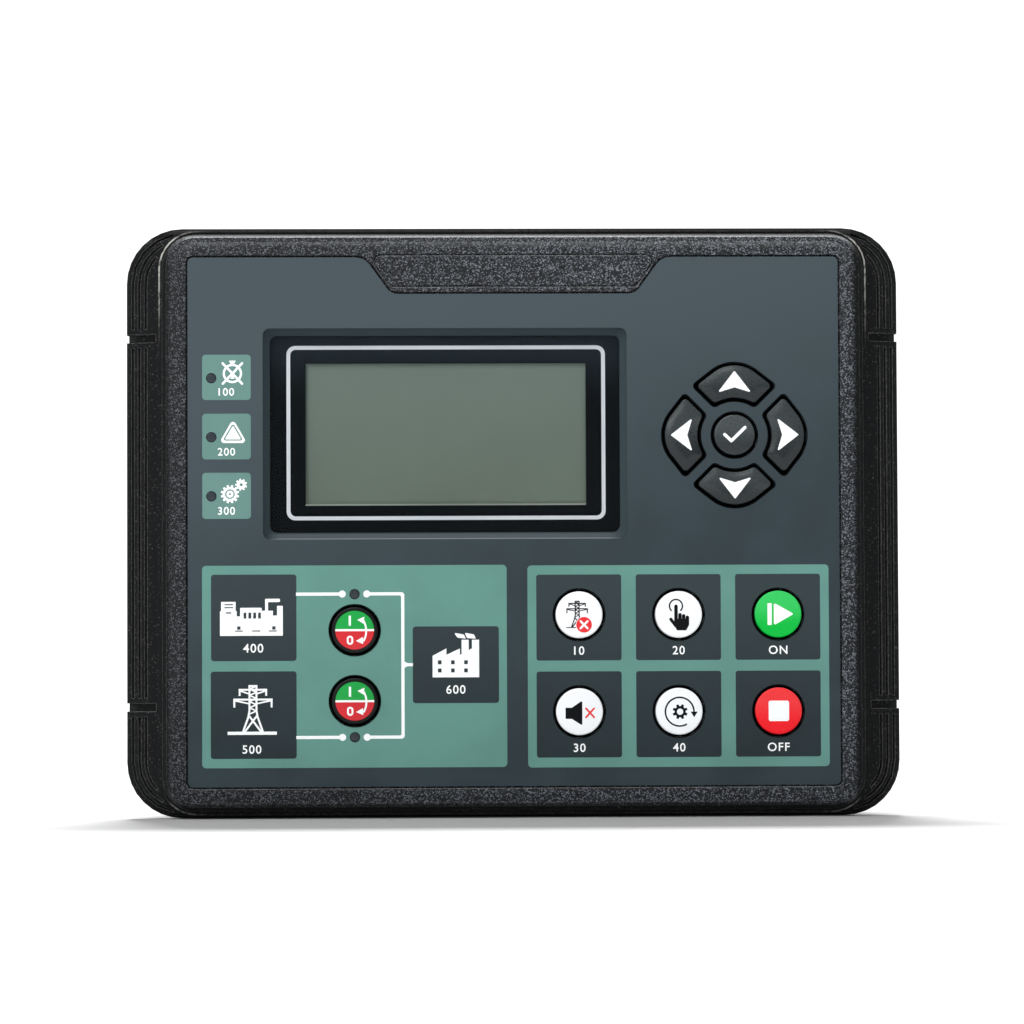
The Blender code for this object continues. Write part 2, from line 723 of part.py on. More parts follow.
def groove(bm, path, flip_x, flip_y):
    """A tapered groove cutter along a path of (x, y, direction of its outer side)."""
    rows = []
    for i, (x, y, angle) in enumerate(path):
        out = (math.cos(angle) * GROOVE_WIDTH / 2, math.sin(angle) * GROOVE_WIDTH / 2)
        depth = GROOVE_DEPTH * (GROOVE_FADE if angle and i == len(path) - 1 else 1)
        floor = wing_height(x, y) - depth
        top = WING_TOP + DECK_STEP / 4
        share = GROOVE_FLOOR_SHARE
        corners = ((-1, top), (-share, floor), (share, floor), (1, top))
        rows.append([
            bm.verts.new(((x + out[0] * k) * flip_x, (y + out[1] * k) * flip_y, z))
            for k, z in corners
        ])
    for row, following in zip(rows, rows[1:]):
        wall(bm, row, following)
    bm.faces.new(rows[0])
    bm.faces.new(rows[-1])


def notch(bm, flip_x, flip_y):
    """A slot across the wing that also nicks the flange's edge."""
    outer = FLANGE_WIDTH / 2
    inner = outer - WING_WIDTH + WING_STRIP
    nick = outer - NOTCH_NICK
    beyond = outer + NOTCH_NICK
    profile = (
        (inner, wing_height(inner, 0) - NOTCH_DEPTH),
        (nick, wing_height(nick, 0) - NOTCH_DEPTH),
        (nick, BEZEL_BACK - NOTCH_NICK),
        (beyond, BEZEL_BACK - NOTCH_NICK),
        (beyond, DECK_FRONT),
        (inner, DECK_FRONT),
    )
    sides = []
    for side in (-0.5, 0.5):
        y = (NOTCH_HEIGHT + side * NOTCH_WIDTH) * flip_y
        sides.append([bm.verts.new((x * flip_x, y, z)) for x, z in profile])
    wall(bm, sides[0], sides[1])
    bm.faces.new(sides[0])
    bm.faces.new(sides[1])


def grips(bm):
    """Cutters for the grooves and notches in both wings."""
    reach = NOTCH_HEIGHT - NOTCH_WIDTH / 2 - NOTCH_LAND
    for flip_x in (-1, 1):
        for flip_y in (-1, 1):
            notch(bm, flip_x, flip_y)
        for i in range(GROOVE_COUNT):
            inset = GROOVE_FIRST + i * GROOVE_PITCH
            x = FLANGE_WIDTH / 2 - inset
            groove(bm, [(x, -reach, 0), (x, reach, 0)], flip_x, 1)
            for flip_y in (-1, 1):
                groove(bm, groove_path(inset), flip_x, flip_y)


def front_bezel():
    bm = bmesh.new()
    bezel_body(bm)
    bezel = new_object("front_bezel", bm, "bezel_black")

    bm = bmesh.new()
    bezel_core(bm)
    boolean(bezel, new_object("cut_core", bm, "bezel_black", helper=True), "DIFFERENCE")

    bm = bmesh.new()
    for at in boss_places():
        prism(bm, circle(BEZEL_BOSS_RADIUS, HIDDEN_SIDES, at), WELL_FRONT + SEAT_GAP,
              WALL_BACK + WALL_UNDER_PLATE / 2)
    boolean(bezel, new_object("add_bosses", bm, "bezel_black", helper=True), "UNION")

    bm = bmesh.new()
    prism(bm, plate_outline(PLATE_GAP), RECESS_FLOOR, DECK_FRONT + WALL_UNDER_PLATE)
    line_floor = DECK_FRONT - BADGE_LINE
    line_top = DECK_FRONT + BADGE_LINE
    plate(bm, badge_outline(0), [badge_outline(BADGE_LINE)], line_floor, line_top)
    for at in boss_places():
        prism(bm, circle(SCREW_RADIUS + SEAT_GAP, HIDDEN_SIDES, at), WELL_BACK,
              WALL_BACK - SEAT_GAP)
    grips(bm)
    boolean(bezel, new_object("cut_face", bm, "bezel_black", helper=True), "DIFFERENCE")

    bm = bmesh.new()
    back, front = WALL_BACK - SEAT_GAP, RECESS_FLOOR + PLATE_GAP
    slope = SCREEN_SLOPE / (RECESS_FLOOR - WALL_BACK)
    sections = []
    for z in (back, front):
        inset = (RECESS_FLOOR - z) * slope
        outline = rounded_rectangle(SCREEN_WIDTH - 2 * inset, SCREEN_HEIGHT - 2 * inset,
                                    SCREEN_CORNER, centre=(SCREEN_X, SCREEN_Y))
        sections.append((outline, z))
    loft(bm, sections)
    holes = round_holes(HOLE_STEP, HIDDEN_SIDES) + nav_holes(HOLE_STEP, False) + lamp_holes()
    for points in holes:
        prism(bm, points, back, front)
    boolean(bezel, new_object("cut_openings", bm, "bezel_black", helper=True), "DIFFERENCE")


def face_plate():
    bm = bmesh.new()
    screen = rounded_rectangle(SCREEN_WIDTH, SCREEN_HEIGHT, SCREEN_CORNER,
                               centre=(SCREEN_X, SCREEN_Y))
    holes = [screen] + round_holes(0, KEY_SIDES) + nav_holes(0, True) + lamp_holes()
    plate(bm, plate_outline(), holes, PLATE_BACK, PLATE_FRONT)
    new_object("face_plate", bm, "plate_slate")


# Keys and their switches


def key_solid(bm, flange, caps, stem):
    """A cap on a retaining flange, with a thin stem behind it."""
    foot = ring(bm, stem, STEM_BACK)
    root = ring(bm, stem, KEY_FLANGE_BACK)
    flange_back = ring(bm, flange, KEY_FLANGE_BACK)
    flange_front = ring(bm, flange, KEY_FLANGE_FRONT)
    cap_rings = [ring(bm, points, z) for points, z in caps]
    lid(bm, [foot])
    wall(bm, foot, root)
    lid(bm, [flange_back, root])
    wall(bm, flange_back, flange_front)
    lid(bm, [flange_front, cap_rings[0]])
    for lower, upper in zip(cap_rings, cap_rings[1:]):
        wall(bm, lower, upper)
    return cap_rings[-1]


def round_key(name, hole_radius, gap, at, finish):
    bm = bmesh.new()
    radius = hole_radius - gap
    rounded = radius - KEY_EDGE_ROUND
    caps = [
        (circle(radius, KEY_SIDES), KEY_FLANGE_FRONT),
        (circle(radius, KEY_SIDES), KEY_TOP - KEY_EDGE_ROUND),
        (circle(rounded, KEY_SIDES), KEY_TOP),
    ]
    flange = circle(hole_radius + HOLE_STEP + KEY_LIP, HIDDEN_SIDES)
    top = key_solid(bm, flange, caps, circle(STEM_RADIUS, STEM_SIDES))
    apex = bm.verts.new((0, 0, KEY_TOP + KEY_DOME / 2))
    for i, point in enumerate(top):
        bm.faces.new((point, top[(i + 1) % len(top)], apex))
    new_object(name, bm, finish, location=(*at, 0))


def arrow_key(name, quarters):
    """An arrow key with a domed cap, its origin at the middle of the cap."""
    bm = bmesh.new()
    caps = []
    dome = (
        (0, KEY_FLANGE_FRONT),
        (0, KEY_TOP - KEY_EDGE_ROUND),
        (KEY_EDGE_ROUND, KEY_TOP),
        (DOME_SHOULDER, KEY_TOP + DOME_SHOULDER_RISE),
        (DOME_RUN, KEY_TOP + KEY_DOME),
    )
    for inset, z in dome:
        drawn_in = NAV_KEY_GAP + inset
        outline = nav_sector(drawn_in, drawn_in, NAV_CORNER - drawn_in / 6,
                             NAV_INNER_CORNER - drawn_in / 6)
        caps.append((outline, z))
    flange = nav_sector(-HOLE_STEP - KEY_LIP, 0, fine=False)
    caps = [(turned(moved(points, -NAV_KEY_X, 0), quarters), z) for points, z in caps]
    flange = turned(moved(flange, -NAV_KEY_X, 0), quarters)
    top = key_solid(bm, flange, caps, circle(STEM_RADIUS, STEM_SIDES))
    lid(bm, [top])
    x, y = turned([(NAV_KEY_X, 0)], quarters)[0]
    new_object(name, bm, "nav_black", location=(NAV_X + x, NAV_Y + y, 0))


def keys():
    for quarters, name in enumerate(NAV_KEYS):
        arrow_key(name, quarters)
    round_key("key_centre", CENTRE_HOLE_RADIUS, NAV_KEY_GAP, (NAV_X, NAV_Y), "nav_black")
    for name, at in breaker_key_places():
        round_key(name, BREAKER_HOLE_RADIUS, ROUND_KEY_GAP, at, "nav_black")
    for name, at, finish in function_key_places():
        round_key(name, KEY_HOLE_RADIUS, ROUND_KEY_GAP, at, finish)


def switches():
    """A push switch under each stem, with a bore that the stem moves in."""
    for key, at in key_centres():
        bm = bmesh.new()
        bore = circle(STEM_RADIUS + STEM_GAP, STEM_SIDES)
        welled_block(bm, rectangle(SWITCH_SIZE, SWITCH_SIZE), [bore],
                     SWITCH_FRONT, SWITCH_BACK, SWITCH_BACK + SWITCH_FLOOR)
        new_object(key.replace("key_", "switch_"), bm, "switch_black", location=(*at, 0))


def keypad_mat():
    """One sheet under all the keys, stepped round the screen."""
    bm = bmesh.new()
    reach = KEY_HOLE_RADIUS + MAT_BORDER
    stems = [at for _, at in key_centres()]
    left = BREAKER_X - reach
    right = KEY_PANEL_X + KEY_PITCH_X + reach
    bottom = min(y for _, y in stems) - reach
    shelf = max(y for x, y in stems if y < LOWER_Y + LOWER_HEIGHT / 2) + reach
    step = NAV_X - NAV_RADIUS
    top = NAV_Y + NAV_RADIUS
    bend = MAT_BORDER
    outline = filleted([
        (left, bottom, bend), (right, bottom, bend), (right, top, bend),
        (step, top, bend), (step, shelf, bend), (left, shelf, bend),
    ], steps=2)
    holes = [circle(STEM_RADIUS + STEM_GAP, STEM_SIDES, at) for at in stems]
    lamp_radius = LAMP_HOLE_RADIUS + LAMP_SHOULDER + SEAT_GAP
    for _, (x, y) in lamp_places():
        if x > left and y < shelf:
            holes.append(circle(lamp_radius, LAMP_SIDES, (x, y)))
    plate(bm, outline, holes, MAT_BACK, MAT_FRONT)
    new_object("keypad_mat", bm, "mat_black")


def lamps():
    """Light pipes with a shoulder behind the wall, which lead the light to the face."""
    radius = LAMP_HOLE_RADIUS - LAMP_GAP
    shoulder = LAMP_HOLE_RADIUS + LAMP_SHOULDER
    for name, at in lamp_places():
        bm = bmesh.new()
        loft(bm, [
            (circle(shoulder, LAMP_SIDES), BOARD_FRONT + LAMP_FOOT),
            (circle(shoulder, LAMP_SIDES), WALL_BACK - SEAT_GAP),
            (circle(radius, LAMP_SIDES), WALL_BACK - SEAT_GAP),
            (circle(radius, LAMP_SIDES), PLATE_FRONT - LAMP_INSET),
        ])
        new_object(name, bm, "lamp_dark", location=(*at, 0))


# The screen


def screen():
    centre = (SCREEN_X, LENS_Y)
    bm = bmesh.new()
    lens_width = SCREEN_WIDTH - 2 * SCREEN_SLOPE + 2 * LENS_LAND
    lens_height = SCREEN_HEIGHT - 2 * SCREEN_SLOPE + 2 * LENS_LAND
    prism(bm, rounded_rectangle(lens_width, lens_height, SCREEN_CORNER, centre=centre),
          LENS_BACK, LENS_FRONT)
    new_object("lcd_window", bm, "lens_clear")

    frame_front = LENS_BACK - SEAT_GAP
    pocket_front = frame_front - DISPLAY_FRAME_LIP
    glass_front = pocket_front - SEAT_GAP
    glass_back = glass_front - DISPLAY_THICKNESS
    inside_width = DISPLAY_WIDTH + 2 * SEAT_GAP
    inside_height = DISPLAY_HEIGHT + 2 * SEAT_GAP
    outer = rectangle(inside_width + 2 * DISPLAY_FRAME_WALL,
                      inside_height + 2 * DISPLAY_FRAME_WALL, centre)
    inside = rectangle(inside_width, inside_height, centre)
    view = rectangle(DISPLAY_VIEW_WIDTH, DISPLAY_VIEW_HEIGHT, centre)
    bm = bmesh.new()
    rings = [
        ring(bm, inside, SWITCH_BACK), ring(bm, outer, SWITCH_BACK), ring(bm, outer, frame_front),
        ring(bm, view, frame_front), ring(bm, view, pocket_front), ring(bm, inside, pocket_front),
    ]
    for i, first in enumerate(rings):
        wall(bm, first, rings[(i + 1) % len(rings)])
    new_object("lcd_frame", bm, "steel")

    sheet = rectangle(DISPLAY_WIDTH, DISPLAY_HEIGHT, centre)
    bm = bmesh.new()
    prism(bm, sheet, glass_back, glass_front)
    new_object("lcd_glass", bm, "display")
    bm = bmesh.new()
    prism(bm, sheet, SWITCH_BACK, glass_back - SEAT_GAP)
    new_object("lcd_backlight", bm, "light_guide")


# Boards


def board(name, width, height, boss_radius, back, finish):
    """A board whose corners are cut away round the bosses."""
    right, top = width / 2, height / 2
    clear = boss_radius + 2 * SEAT_GAP
    inner_x, inner_y = BOSS_X - clear, BOSS_Y - clear
    quarter = [(right, 0), (right, inner_y), (inner_x, inner_y), (inner_x, top)]
    points = quarter + [(-x, y) for x, y in reversed(quarter)]
    points += [(-x, -y) for x, y in quarter[1:]] + [(x, -y) for x, y in reversed(quarter[1:])]
    bm = bmesh.new()
    prism(bm, points, back, back + BOARD_THICKNESS)
    new_object(name, bm, finish)


def boards():
    board("front_board", INNER_WIDTH - 2 * BOARD_SIDE_GAP, INNER_HEIGHT - 2 * BOARD_SIDE_GAP,
          BEZEL_BOSS_RADIUS, BOARD_BACK, "board_green")
    rear_gap = RIB_HEIGHT + SEAT_GAP
    board("rear_board", INNER_WIDTH - 2 * rear_gap, INNER_HEIGHT - 2 * rear_gap,
          BOSS_RADIUS, REAR_BOARD_BACK, "board_green")
    bm = bmesh.new()
    prism(bm, rectangle(LINK_LENGTH, LINK_WIDTH), REAR_BOARD_FRONT + SEAT_GAP,
          BOARD_BACK - SEAT_GAP)
    new_object("board_link", bm, "switch_black")


# Terminals


def terminal_places():
    """Name, centre and number of ways of each terminal."""
    number = 1
    for ways, row, spacing in (
        (UPPER_WAYS, TERMINAL_ROW, UPPER_ROW_SPACING),
        (LOWER_WAYS, -TERMINAL_ROW, LOWER_ROW_SPACING),
    ):
        for side, count in zip((-0.5, 0.5), ways):
            yield number, (side * spacing, row), count
            number += 1


def socket_size(ways):
    return ways * TERMINAL_PITCH + 2 * PLUG_END, SOCKET_HEIGHT


def terminals():
    for number, at, ways in terminal_places():
        width, height = socket_size(ways)
        inside = rectangle(width - 2 * SOCKET_WALL, height - 2 * SOCKET_WALL)
        floor = SOCKET_FRONT - SOCKET_FLOOR
        bm = bmesh.new()
        welled_block(bm, rectangle(width, height), [inside], SOCKET_BACK, SOCKET_FRONT, floor)
        new_object(f"terminal_socket_{number}", bm, "terminal_green", location=(*at, 0))

        inner = 2 * SOCKET_WALL + 2 * SEAT_GAP
        neck = rectangle(width - inner, height - inner)
        body = rectangle(width, PLUG_HEIGHT)
        first = -(ways - 1) / 2 * TERMINAL_PITCH
        entries = [
            rectangle(PLUG_ENTRY, PLUG_ENTRY, (first + i * TERMINAL_PITCH, 0))
            for i in range(ways)
        ]
        bm = bmesh.new()
        mouth = [ring(bm, points, PLUG_BACK) for points in [body, *entries]]
        lid(bm, mouth)
        for points, opening in zip(entries, mouth[1:]):
            bottom = ring(bm, points, PLUG_BACK + PLUG_ENTRY_DEPTH)
            wall(bm, opening, bottom)
            lid(bm, [bottom])
        shoulder = ring(bm, body, PLUG_SHOULDER)
        neck_back = ring(bm, neck, PLUG_SHOULDER)
        neck_front = ring(bm, neck, floor - SEAT_GAP)
        wall(bm, mouth[0], shoulder)
        wall(bm, shoulder, neck_back)
        wall(bm, neck_back, neck_front)
        lid(bm, [neck_front])
        new_object(f"terminal_plug_{number}", bm, "terminal_green", location=(*at, 0))


# The rear housing


def clip_span():
    """Front and back end of the clip's arm."""
    front = -PANEL_GRIP - CLIP_GAP
    return front, HOUSING_BACK + CLIP_END_MARGIN


def hook_middle():
    front, back = clip_span()
    return (front + back) / 2


def rib(bm, x, side):
    """A stepped rib on the inside of a long wall, which both boards rest on."""
    foot = side * (INNER_HEIGHT / 2 + HOUSING_WALL / 2)
    low = side * (INNER_HEIGHT / 2 - RIB_HEIGHT)
    high = side * (INNER_HEIGHT / 2 - RIB_HEIGHT - RIB_STEP)
    base = HOUSING_BACK + HOUSING_WALL / 2
    step = REAR_BOARD_BACK - SEAT_GAP
    front = BOARD_BACK - SEAT_GAP
    profile = ((foot, base), (high, base), (high, step), (low, step), (low, front), (foot, front))
    ends = [
        [bm.verts.new((x + k * RIB_THICKNESS / 2, y, z)) for y, z in profile] for k in (-1, 1)
    ]
    wall(bm, ends[0], ends[1])
    bm.faces.new(ends[0])
    bm.faces.new(ends[1])


def housing_shell(bm):
    """A box open to the front, with its back edge chamfered."""
    inside_back = HOUSING_BACK + HOUSING_WALL
    inner = rounded_rectangle(INNER_WIDTH, INNER_HEIGHT, INNER_CORNER)
    outer = rounded_rectangle(HOUSING_WIDTH, HOUSING_HEIGHT, HOUSING_CORNER)
    tail = rounded_rectangle(HOUSING_WIDTH - 2 * HOUSING_CHAMFER,
                             HOUSING_HEIGHT - 2 * HOUSING_CHAMFER, HOUSING_CORNER)
    loft(bm, [
        (inner, inside_back), (inner, RIM_FRONT), (outer, RIM_FRONT),
        (outer, HOUSING_BACK + HOUSING_CHAMFER), (tail, HOUSING_BACK),
    ])


def housing_cuts(bm):
    """Cutters for the screw wells, terminal openings, vents and clip slots."""
    bore = SCREW_RADIUS + SEAT_GAP
    for at in boss_places():
        loft(bm, [
            (circle(WELL_RADIUS, HIDDEN_SIDES, at), HOUSING_BACK - WELL_FLOOR),
            (circle(WELL_RADIUS, HIDDEN_SIDES, at), WELL_BACK),
            (circle(bore, HIDDEN_SIDES, at), WELL_BACK),
            (circle(bore, HIDDEN_SIDES, at), WELL_FRONT + WELL_FLOOR),
        ])
    outside, inside = HOUSING_BACK - HOUSING_WALL, HOUSING_BACK + 2 * HOUSING_WALL
    for _, at, ways in terminal_places():
        width, height = socket_size(ways)
        opening = rectangle(width + 2 * SEAT_GAP, height + 2 * SEAT_GAP, at)
        prism(bm, opening, outside, inside)
    for i in range(VENT_COUNT):
        x = (i - (VENT_COUNT - 1) / 2) * VENT_PITCH
        prism(bm, rectangle(VENT_WIDTH, VENT_LENGTH, (x, 0)), outside, inside)
    middle = hook_middle()
    length = CLIP_HOOK_LENGTH / 2 + SEAT_GAP
    for side in (-1, 1):
        for hook in (-0.5, 0.5):
            slot = rectangle(3 * HOUSING_WALL, CLIP_HOOK_WIDTH + 2 * SEAT_GAP,
                             (side * HOUSING_WIDTH / 2, hook * CLIP_HOOK_SPACING))
            prism(bm, slot, middle - length, middle + length)


def rear_housing():
    bm = bmesh.new()
    housing_shell(bm)
    housing = new_object("rear_housing", bm, "housing_black")
    bm = bmesh.new()
    for at in boss_places():
        prism(bm, circle(BOSS_RADIUS, HIDDEN_SIDES, at), HOUSING_BACK + HOUSING_WALL / 2,
              WELL_FRONT)
    for side in (-1, 1):
        for x in (-0.5, 0.5):
            rib(bm, x * RIB_SPACING, side)
    boolean(housing, new_object("add_posts", bm, "housing_black", helper=True), "UNION")
    bm = bmesh.new()
    housing_cuts(bm)
    boolean(housing, new_object("cut_housing", bm, "housing_black", helper=True), "DIFFERENCE")


# Fasteners, gasket and clips


def slotted_screw(name, at, tip, seat, radius, head_radius, head_height):
    """A screw whose tip points forward and whose slotted head sits behind its seat."""
    bm = bmesh.new()
    end = seat - head_height
    loft(bm, [
        (circle(head_radius, HIDDEN_SIDES), end),
        (circle(head_radius, HIDDEN_SIDES), seat),
        (circle(radius, HIDDEN_SIDES), seat),
        (circle(radius, HIDDEN_SIDES), tip),
    ])
    screw = new_object(name, bm, "steel", location=(*at, 0))
    bm = bmesh.new()
    prism(bm, rectangle(3 * head_radius, SCREW_SLOT), end - head_height, end + head_height / 2)
    cutter = new_object(f"slot_{name}", bm, "steel", location=(*at, 0), helper=True)
    boolean(screw, cutter, "DIFFERENCE")


def case_screws():
    seat = WELL_BACK - SEAT_GAP
    tip = WALL_BACK - 2 * SEAT_GAP
    for i, at in enumerate(boss_places()):
        slotted_screw(f"case_screw_{i + 1}", at, tip, seat, SCREW_RADIUS, SCREW_HEAD_RADIUS,
                      SCREW_HEAD_HEIGHT)


def panel_gasket():
    bm = bmesh.new()
    inner = rounded_rectangle(CUTOUT_WIDTH, CUTOUT_HEIGHT, HOUSING_CORNER + CUTOUT_CLEARANCE,
                              CORNER_STEPS // 2)
    outer = flange_outline(FLANGE_EDGE_ROUND, CORNER_STEPS // 2)
    plate(bm, outer, [inner], 0, GASKET_THICKNESS)
    new_object("panel_gasket", bm, "gasket_black")


def panel_clip(name, side):
    """A bracket hooked into the housing's side, with a foot for the screw."""
    front, back = clip_span()
    inside = HOUSING_WIDTH / 2 + SEAT_GAP
    outside = inside + CLIP_THICKNESS
    foot = outside + CLIP_FOOT_REACH
    foot_back = front - CLIP_FOOT_DEPTH
    bm = bmesh.new()
    arm_middle = (side * (inside + outside) / 2, 0)
    prism(bm, rectangle(CLIP_THICKNESS, CLIP_HEIGHT, arm_middle), back, front)
    clip = new_object(name, bm, "housing_black")

    bm = bmesh.new()
    overlap = CLIP_THICKNESS / 2
    foot_middle = (side * (outside - overlap + foot) / 2, 0)
    prism(bm, rectangle(foot - outside + overlap, CLIP_FOOT_HEIGHT, foot_middle),
          foot_back, front - SEAT_GAP)
    tip = INNER_WIDTH / 2 - CLIP_HOOK_REACH
    hook_width = inside + overlap - tip
    for hook in (-0.5, 0.5):
        at = (side * (tip + hook_width / 2), hook * CLIP_HOOK_SPACING)
        prism(bm, rectangle(hook_width, CLIP_HOOK_WIDTH, at),
              hook_middle() - CLIP_HOOK_LENGTH / 2, hook_middle() + CLIP_HOOK_LENGTH / 2)
    boolean(clip, new_object(f"add_{name}", bm, "housing_black", helper=True), "UNION")

    screw_at = (side * (outside + CLIP_FOOT_REACH / 2), 0)
    bm = bmesh.new()
    prism(bm, circle(CLIP_SCREW_RADIUS + SEAT_GAP, HIDDEN_SIDES, screw_at),
          foot_back - CLIP_GAP, front + CLIP_GAP)
    boolean(clip, new_object(f"cut_{name}", bm, "housing_black", helper=True), "DIFFERENCE")
    return screw_at, foot_back


def panel_clips():
    for word, side in (("left", -1), ("right", 1)):
        screw_at, foot_back = panel_clip(f"panel_clip_{word}", side)
        slotted_screw(f"clip_screw_{word}", screw_at, -PANEL_GRIP, foot_back - CLIP_SCREW_BACK,
                      CLIP_SCREW_RADIUS, CLIP_SCREW_HEAD_RADIUS, CLIP_SCREW_HEAD)


def stand_up():
    """The empty that carries every piece and turns the face towards -Y."""
    empty = bpy.data.objects.new("controller", None)
    bpy.context.scene.collection.objects.link(empty)
    empty.rotation_euler = (FULL_TURN / 4, 0, 0)


def build():
    clear_scene()
    stand_up()
    front_bezel()
    face_plate()
    keys()
    switches()
    keypad_mat()
    lamps()
    screen()
    boards()
    terminals()
    rear_housing()
    case_screws()
    panel_gasket()
    panel_clips()


build()
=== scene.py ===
"""Looks for the genset controller: finishes, printed face, fine keys, studio and camera.

Shapes on the face are in millimetres, as (x, z) from the middle of the face plate.
Heights are millimetres in front of the mounting panel, so a height h is world y = -h / 1000.
"""

import json
import math

import bmesh
import bpy
import numpy as np
from mathutils import Matrix, Vector
from mathutils.bvhtree import BVHTree
from mathutils.geometry import delaunay_2d_cdt

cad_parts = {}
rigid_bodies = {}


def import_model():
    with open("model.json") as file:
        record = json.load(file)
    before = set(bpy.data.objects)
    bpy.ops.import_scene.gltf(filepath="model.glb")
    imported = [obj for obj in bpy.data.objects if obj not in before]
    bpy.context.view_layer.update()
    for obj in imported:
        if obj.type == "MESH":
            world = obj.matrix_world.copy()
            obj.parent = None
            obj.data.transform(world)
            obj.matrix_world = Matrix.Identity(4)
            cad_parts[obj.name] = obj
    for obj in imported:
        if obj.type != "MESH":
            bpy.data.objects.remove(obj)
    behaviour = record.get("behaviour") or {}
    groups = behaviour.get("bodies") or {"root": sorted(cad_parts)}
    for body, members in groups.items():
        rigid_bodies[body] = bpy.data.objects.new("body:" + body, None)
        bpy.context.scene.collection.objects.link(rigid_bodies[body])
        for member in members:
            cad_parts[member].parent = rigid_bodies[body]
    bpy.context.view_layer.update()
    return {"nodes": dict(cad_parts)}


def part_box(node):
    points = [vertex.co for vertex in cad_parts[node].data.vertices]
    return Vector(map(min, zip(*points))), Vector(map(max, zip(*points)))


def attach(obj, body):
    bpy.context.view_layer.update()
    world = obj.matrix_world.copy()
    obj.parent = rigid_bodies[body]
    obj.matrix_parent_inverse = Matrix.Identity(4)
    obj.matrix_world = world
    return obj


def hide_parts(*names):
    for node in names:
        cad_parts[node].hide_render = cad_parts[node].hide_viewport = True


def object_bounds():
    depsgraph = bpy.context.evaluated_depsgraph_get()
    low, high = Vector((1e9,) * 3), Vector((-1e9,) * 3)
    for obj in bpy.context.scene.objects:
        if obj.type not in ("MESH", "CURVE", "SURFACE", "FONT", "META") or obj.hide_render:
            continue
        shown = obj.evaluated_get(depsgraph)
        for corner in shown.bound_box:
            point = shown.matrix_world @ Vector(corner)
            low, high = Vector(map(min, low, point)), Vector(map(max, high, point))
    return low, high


TURN = 2 * math.pi
FINE = 96

for old in list(bpy.data.objects):
    bpy.data.objects.remove(old)

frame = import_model()
NODES = frame["nodes"]

# Outlines, as lists of (x, z) in millimetres


def arc(centre, radius, start, end, steps):
    angles = [start + (end - start) * i / steps for i in range(steps + 1)]
    return [(centre[0] + radius * math.cos(a), centre[1] + radius * math.sin(a)) for a in angles]


def circle(centre, radius, sides=FINE):
    return arc(centre, radius, 0, TURN, sides)[:-1]


def rect(x0, z0, x1, z1):
    return [(x0, z0), (x1, z0), (x1, z1), (x0, z1)]


def rounded(x0, z0, x1, z1, radius, steps=8):
    """A rounded rectangle between two opposite corners."""
    left, right = min(x0, x1) + radius, max(x0, x1) - radius
    low, high = min(z0, z1) + radius, max(z0, z1) - radius
    points = []
    for quarter, middle in enumerate(((right, high), (left, high), (left, low), (right, low))):
        points += arc(middle, radius, quarter * TURN / 4, (quarter + 1) * TURN / 4, steps)
    return points


def filleted(corners, steps=6):
    """A polygon given as (x, z, radius) corners, anticlockwise, with an arc at each corner."""
    points = []
    for i, (x, z, radius) in enumerate(corners):
        before, after = corners[i - 1], corners[(i + 1) % len(corners)]
        if radius <= 0:
            points.append((x, z))
            continue
        back = math.atan2(before[1] - z, before[0] - x)
        ahead = math.atan2(after[1] - z, after[0] - x)
        spread = (ahead - back) % TURN
        hollow = spread <= math.pi
        inner = spread / 2 if hollow else (TURN - spread) / 2
        reach = radius / math.sin(inner)
        middle = back + spread / 2 + (0 if hollow else math.pi)
        centre = (x + reach * math.cos(middle), z + reach * math.sin(middle))
        sweep = math.pi - 2 * inner
        direction = -1 if hollow else 1
        start = middle + math.pi - direction * sweep / 2
        points += arc(centre, radius, start, start + direction * sweep, steps)
    return points


def capsule(a, b, width, steps=6):
    """A straight stroke with round ends."""
    along = math.atan2(b[1] - a[1], b[0] - a[0])
    quarter = TURN / 4
    return (arc(b, width / 2, along - quarter, along + quarter, steps)
            + arc(a, width / 2, along + quarter, along + 3 * quarter, steps))


def bar(a, b, width):
    """A straight stroke with square ends."""
    along = math.atan2(b[1] - a[1], b[0] - a[0])
    dx, dz = -math.sin(along) * width / 2, math.cos(along) * width / 2
    return [(a[0] - dx, a[1] - dz), (b[0] - dx, b[1] - dz), (b[0] + dx, b[1] + dz),
            (a[0] + dx, a[1] + dz)]


def band(centre, radius, width, start, end, steps=40):
    """A stroke along an arc, with its angles in degrees."""
    a, b = math.radians(start), math.radians(end)
    return arc(centre, radius + width / 2, a, b, steps) + arc(centre, radius - width / 2, b, a, steps)


def cross(centre, half, tall, width):
    """Two strokes that cross, as two shapes."""
    x, z = centre
    return [[capsule((x - side * half, z - tall), (x + side * half, z + tall), width)]
            for side in (-1, 1)]


def gear(centre, radius, root, teeth):
    points = []
    for i in range(teeth):
        middle = TURN * (i + 0.5) / teeth
        for offset, r in ((-0.34, root), (-0.2, radius), (0.2, radius), (0.34, root)):
            angle = middle + offset * TURN / teeth
            points.append((centre[0] + r * math.cos(angle), centre[1] + r * math.sin(angle)))
    return points


def alone(loops):
    """Each loop as a shape of its own."""
    return [[loop] for loop in loops]


def moved(shape, centre):
    """A shape, which is a list of loops, moved from the origin to a centre."""
    return [[(x + centre[0], z + centre[1]) for x, z in loop] for loop in shape]


def turned(points, quarters):
    for _ in range(quarters):
        points = [(-z, x) for x, z in points]
    return points


# Meshes

AXIS = 0.02
PRINT_STEP = 0.02
CAP_GRID = 0.35
FONT_SPACING, FONT_WEIGHT = 1.15, 0.012


def linear(value):
    """A colour channel of 0 to 255 as it looks on screen, turned into scene light."""
    value = value / 255
    return value / 12.92 if value <= 0.04045 else ((value + 0.055) / 1.055) ** 2.4


def add_object(name, data):
    made = bpy.data.objects.new(name, data)
    bpy.context.scene.collection.objects.link(made)
    return made


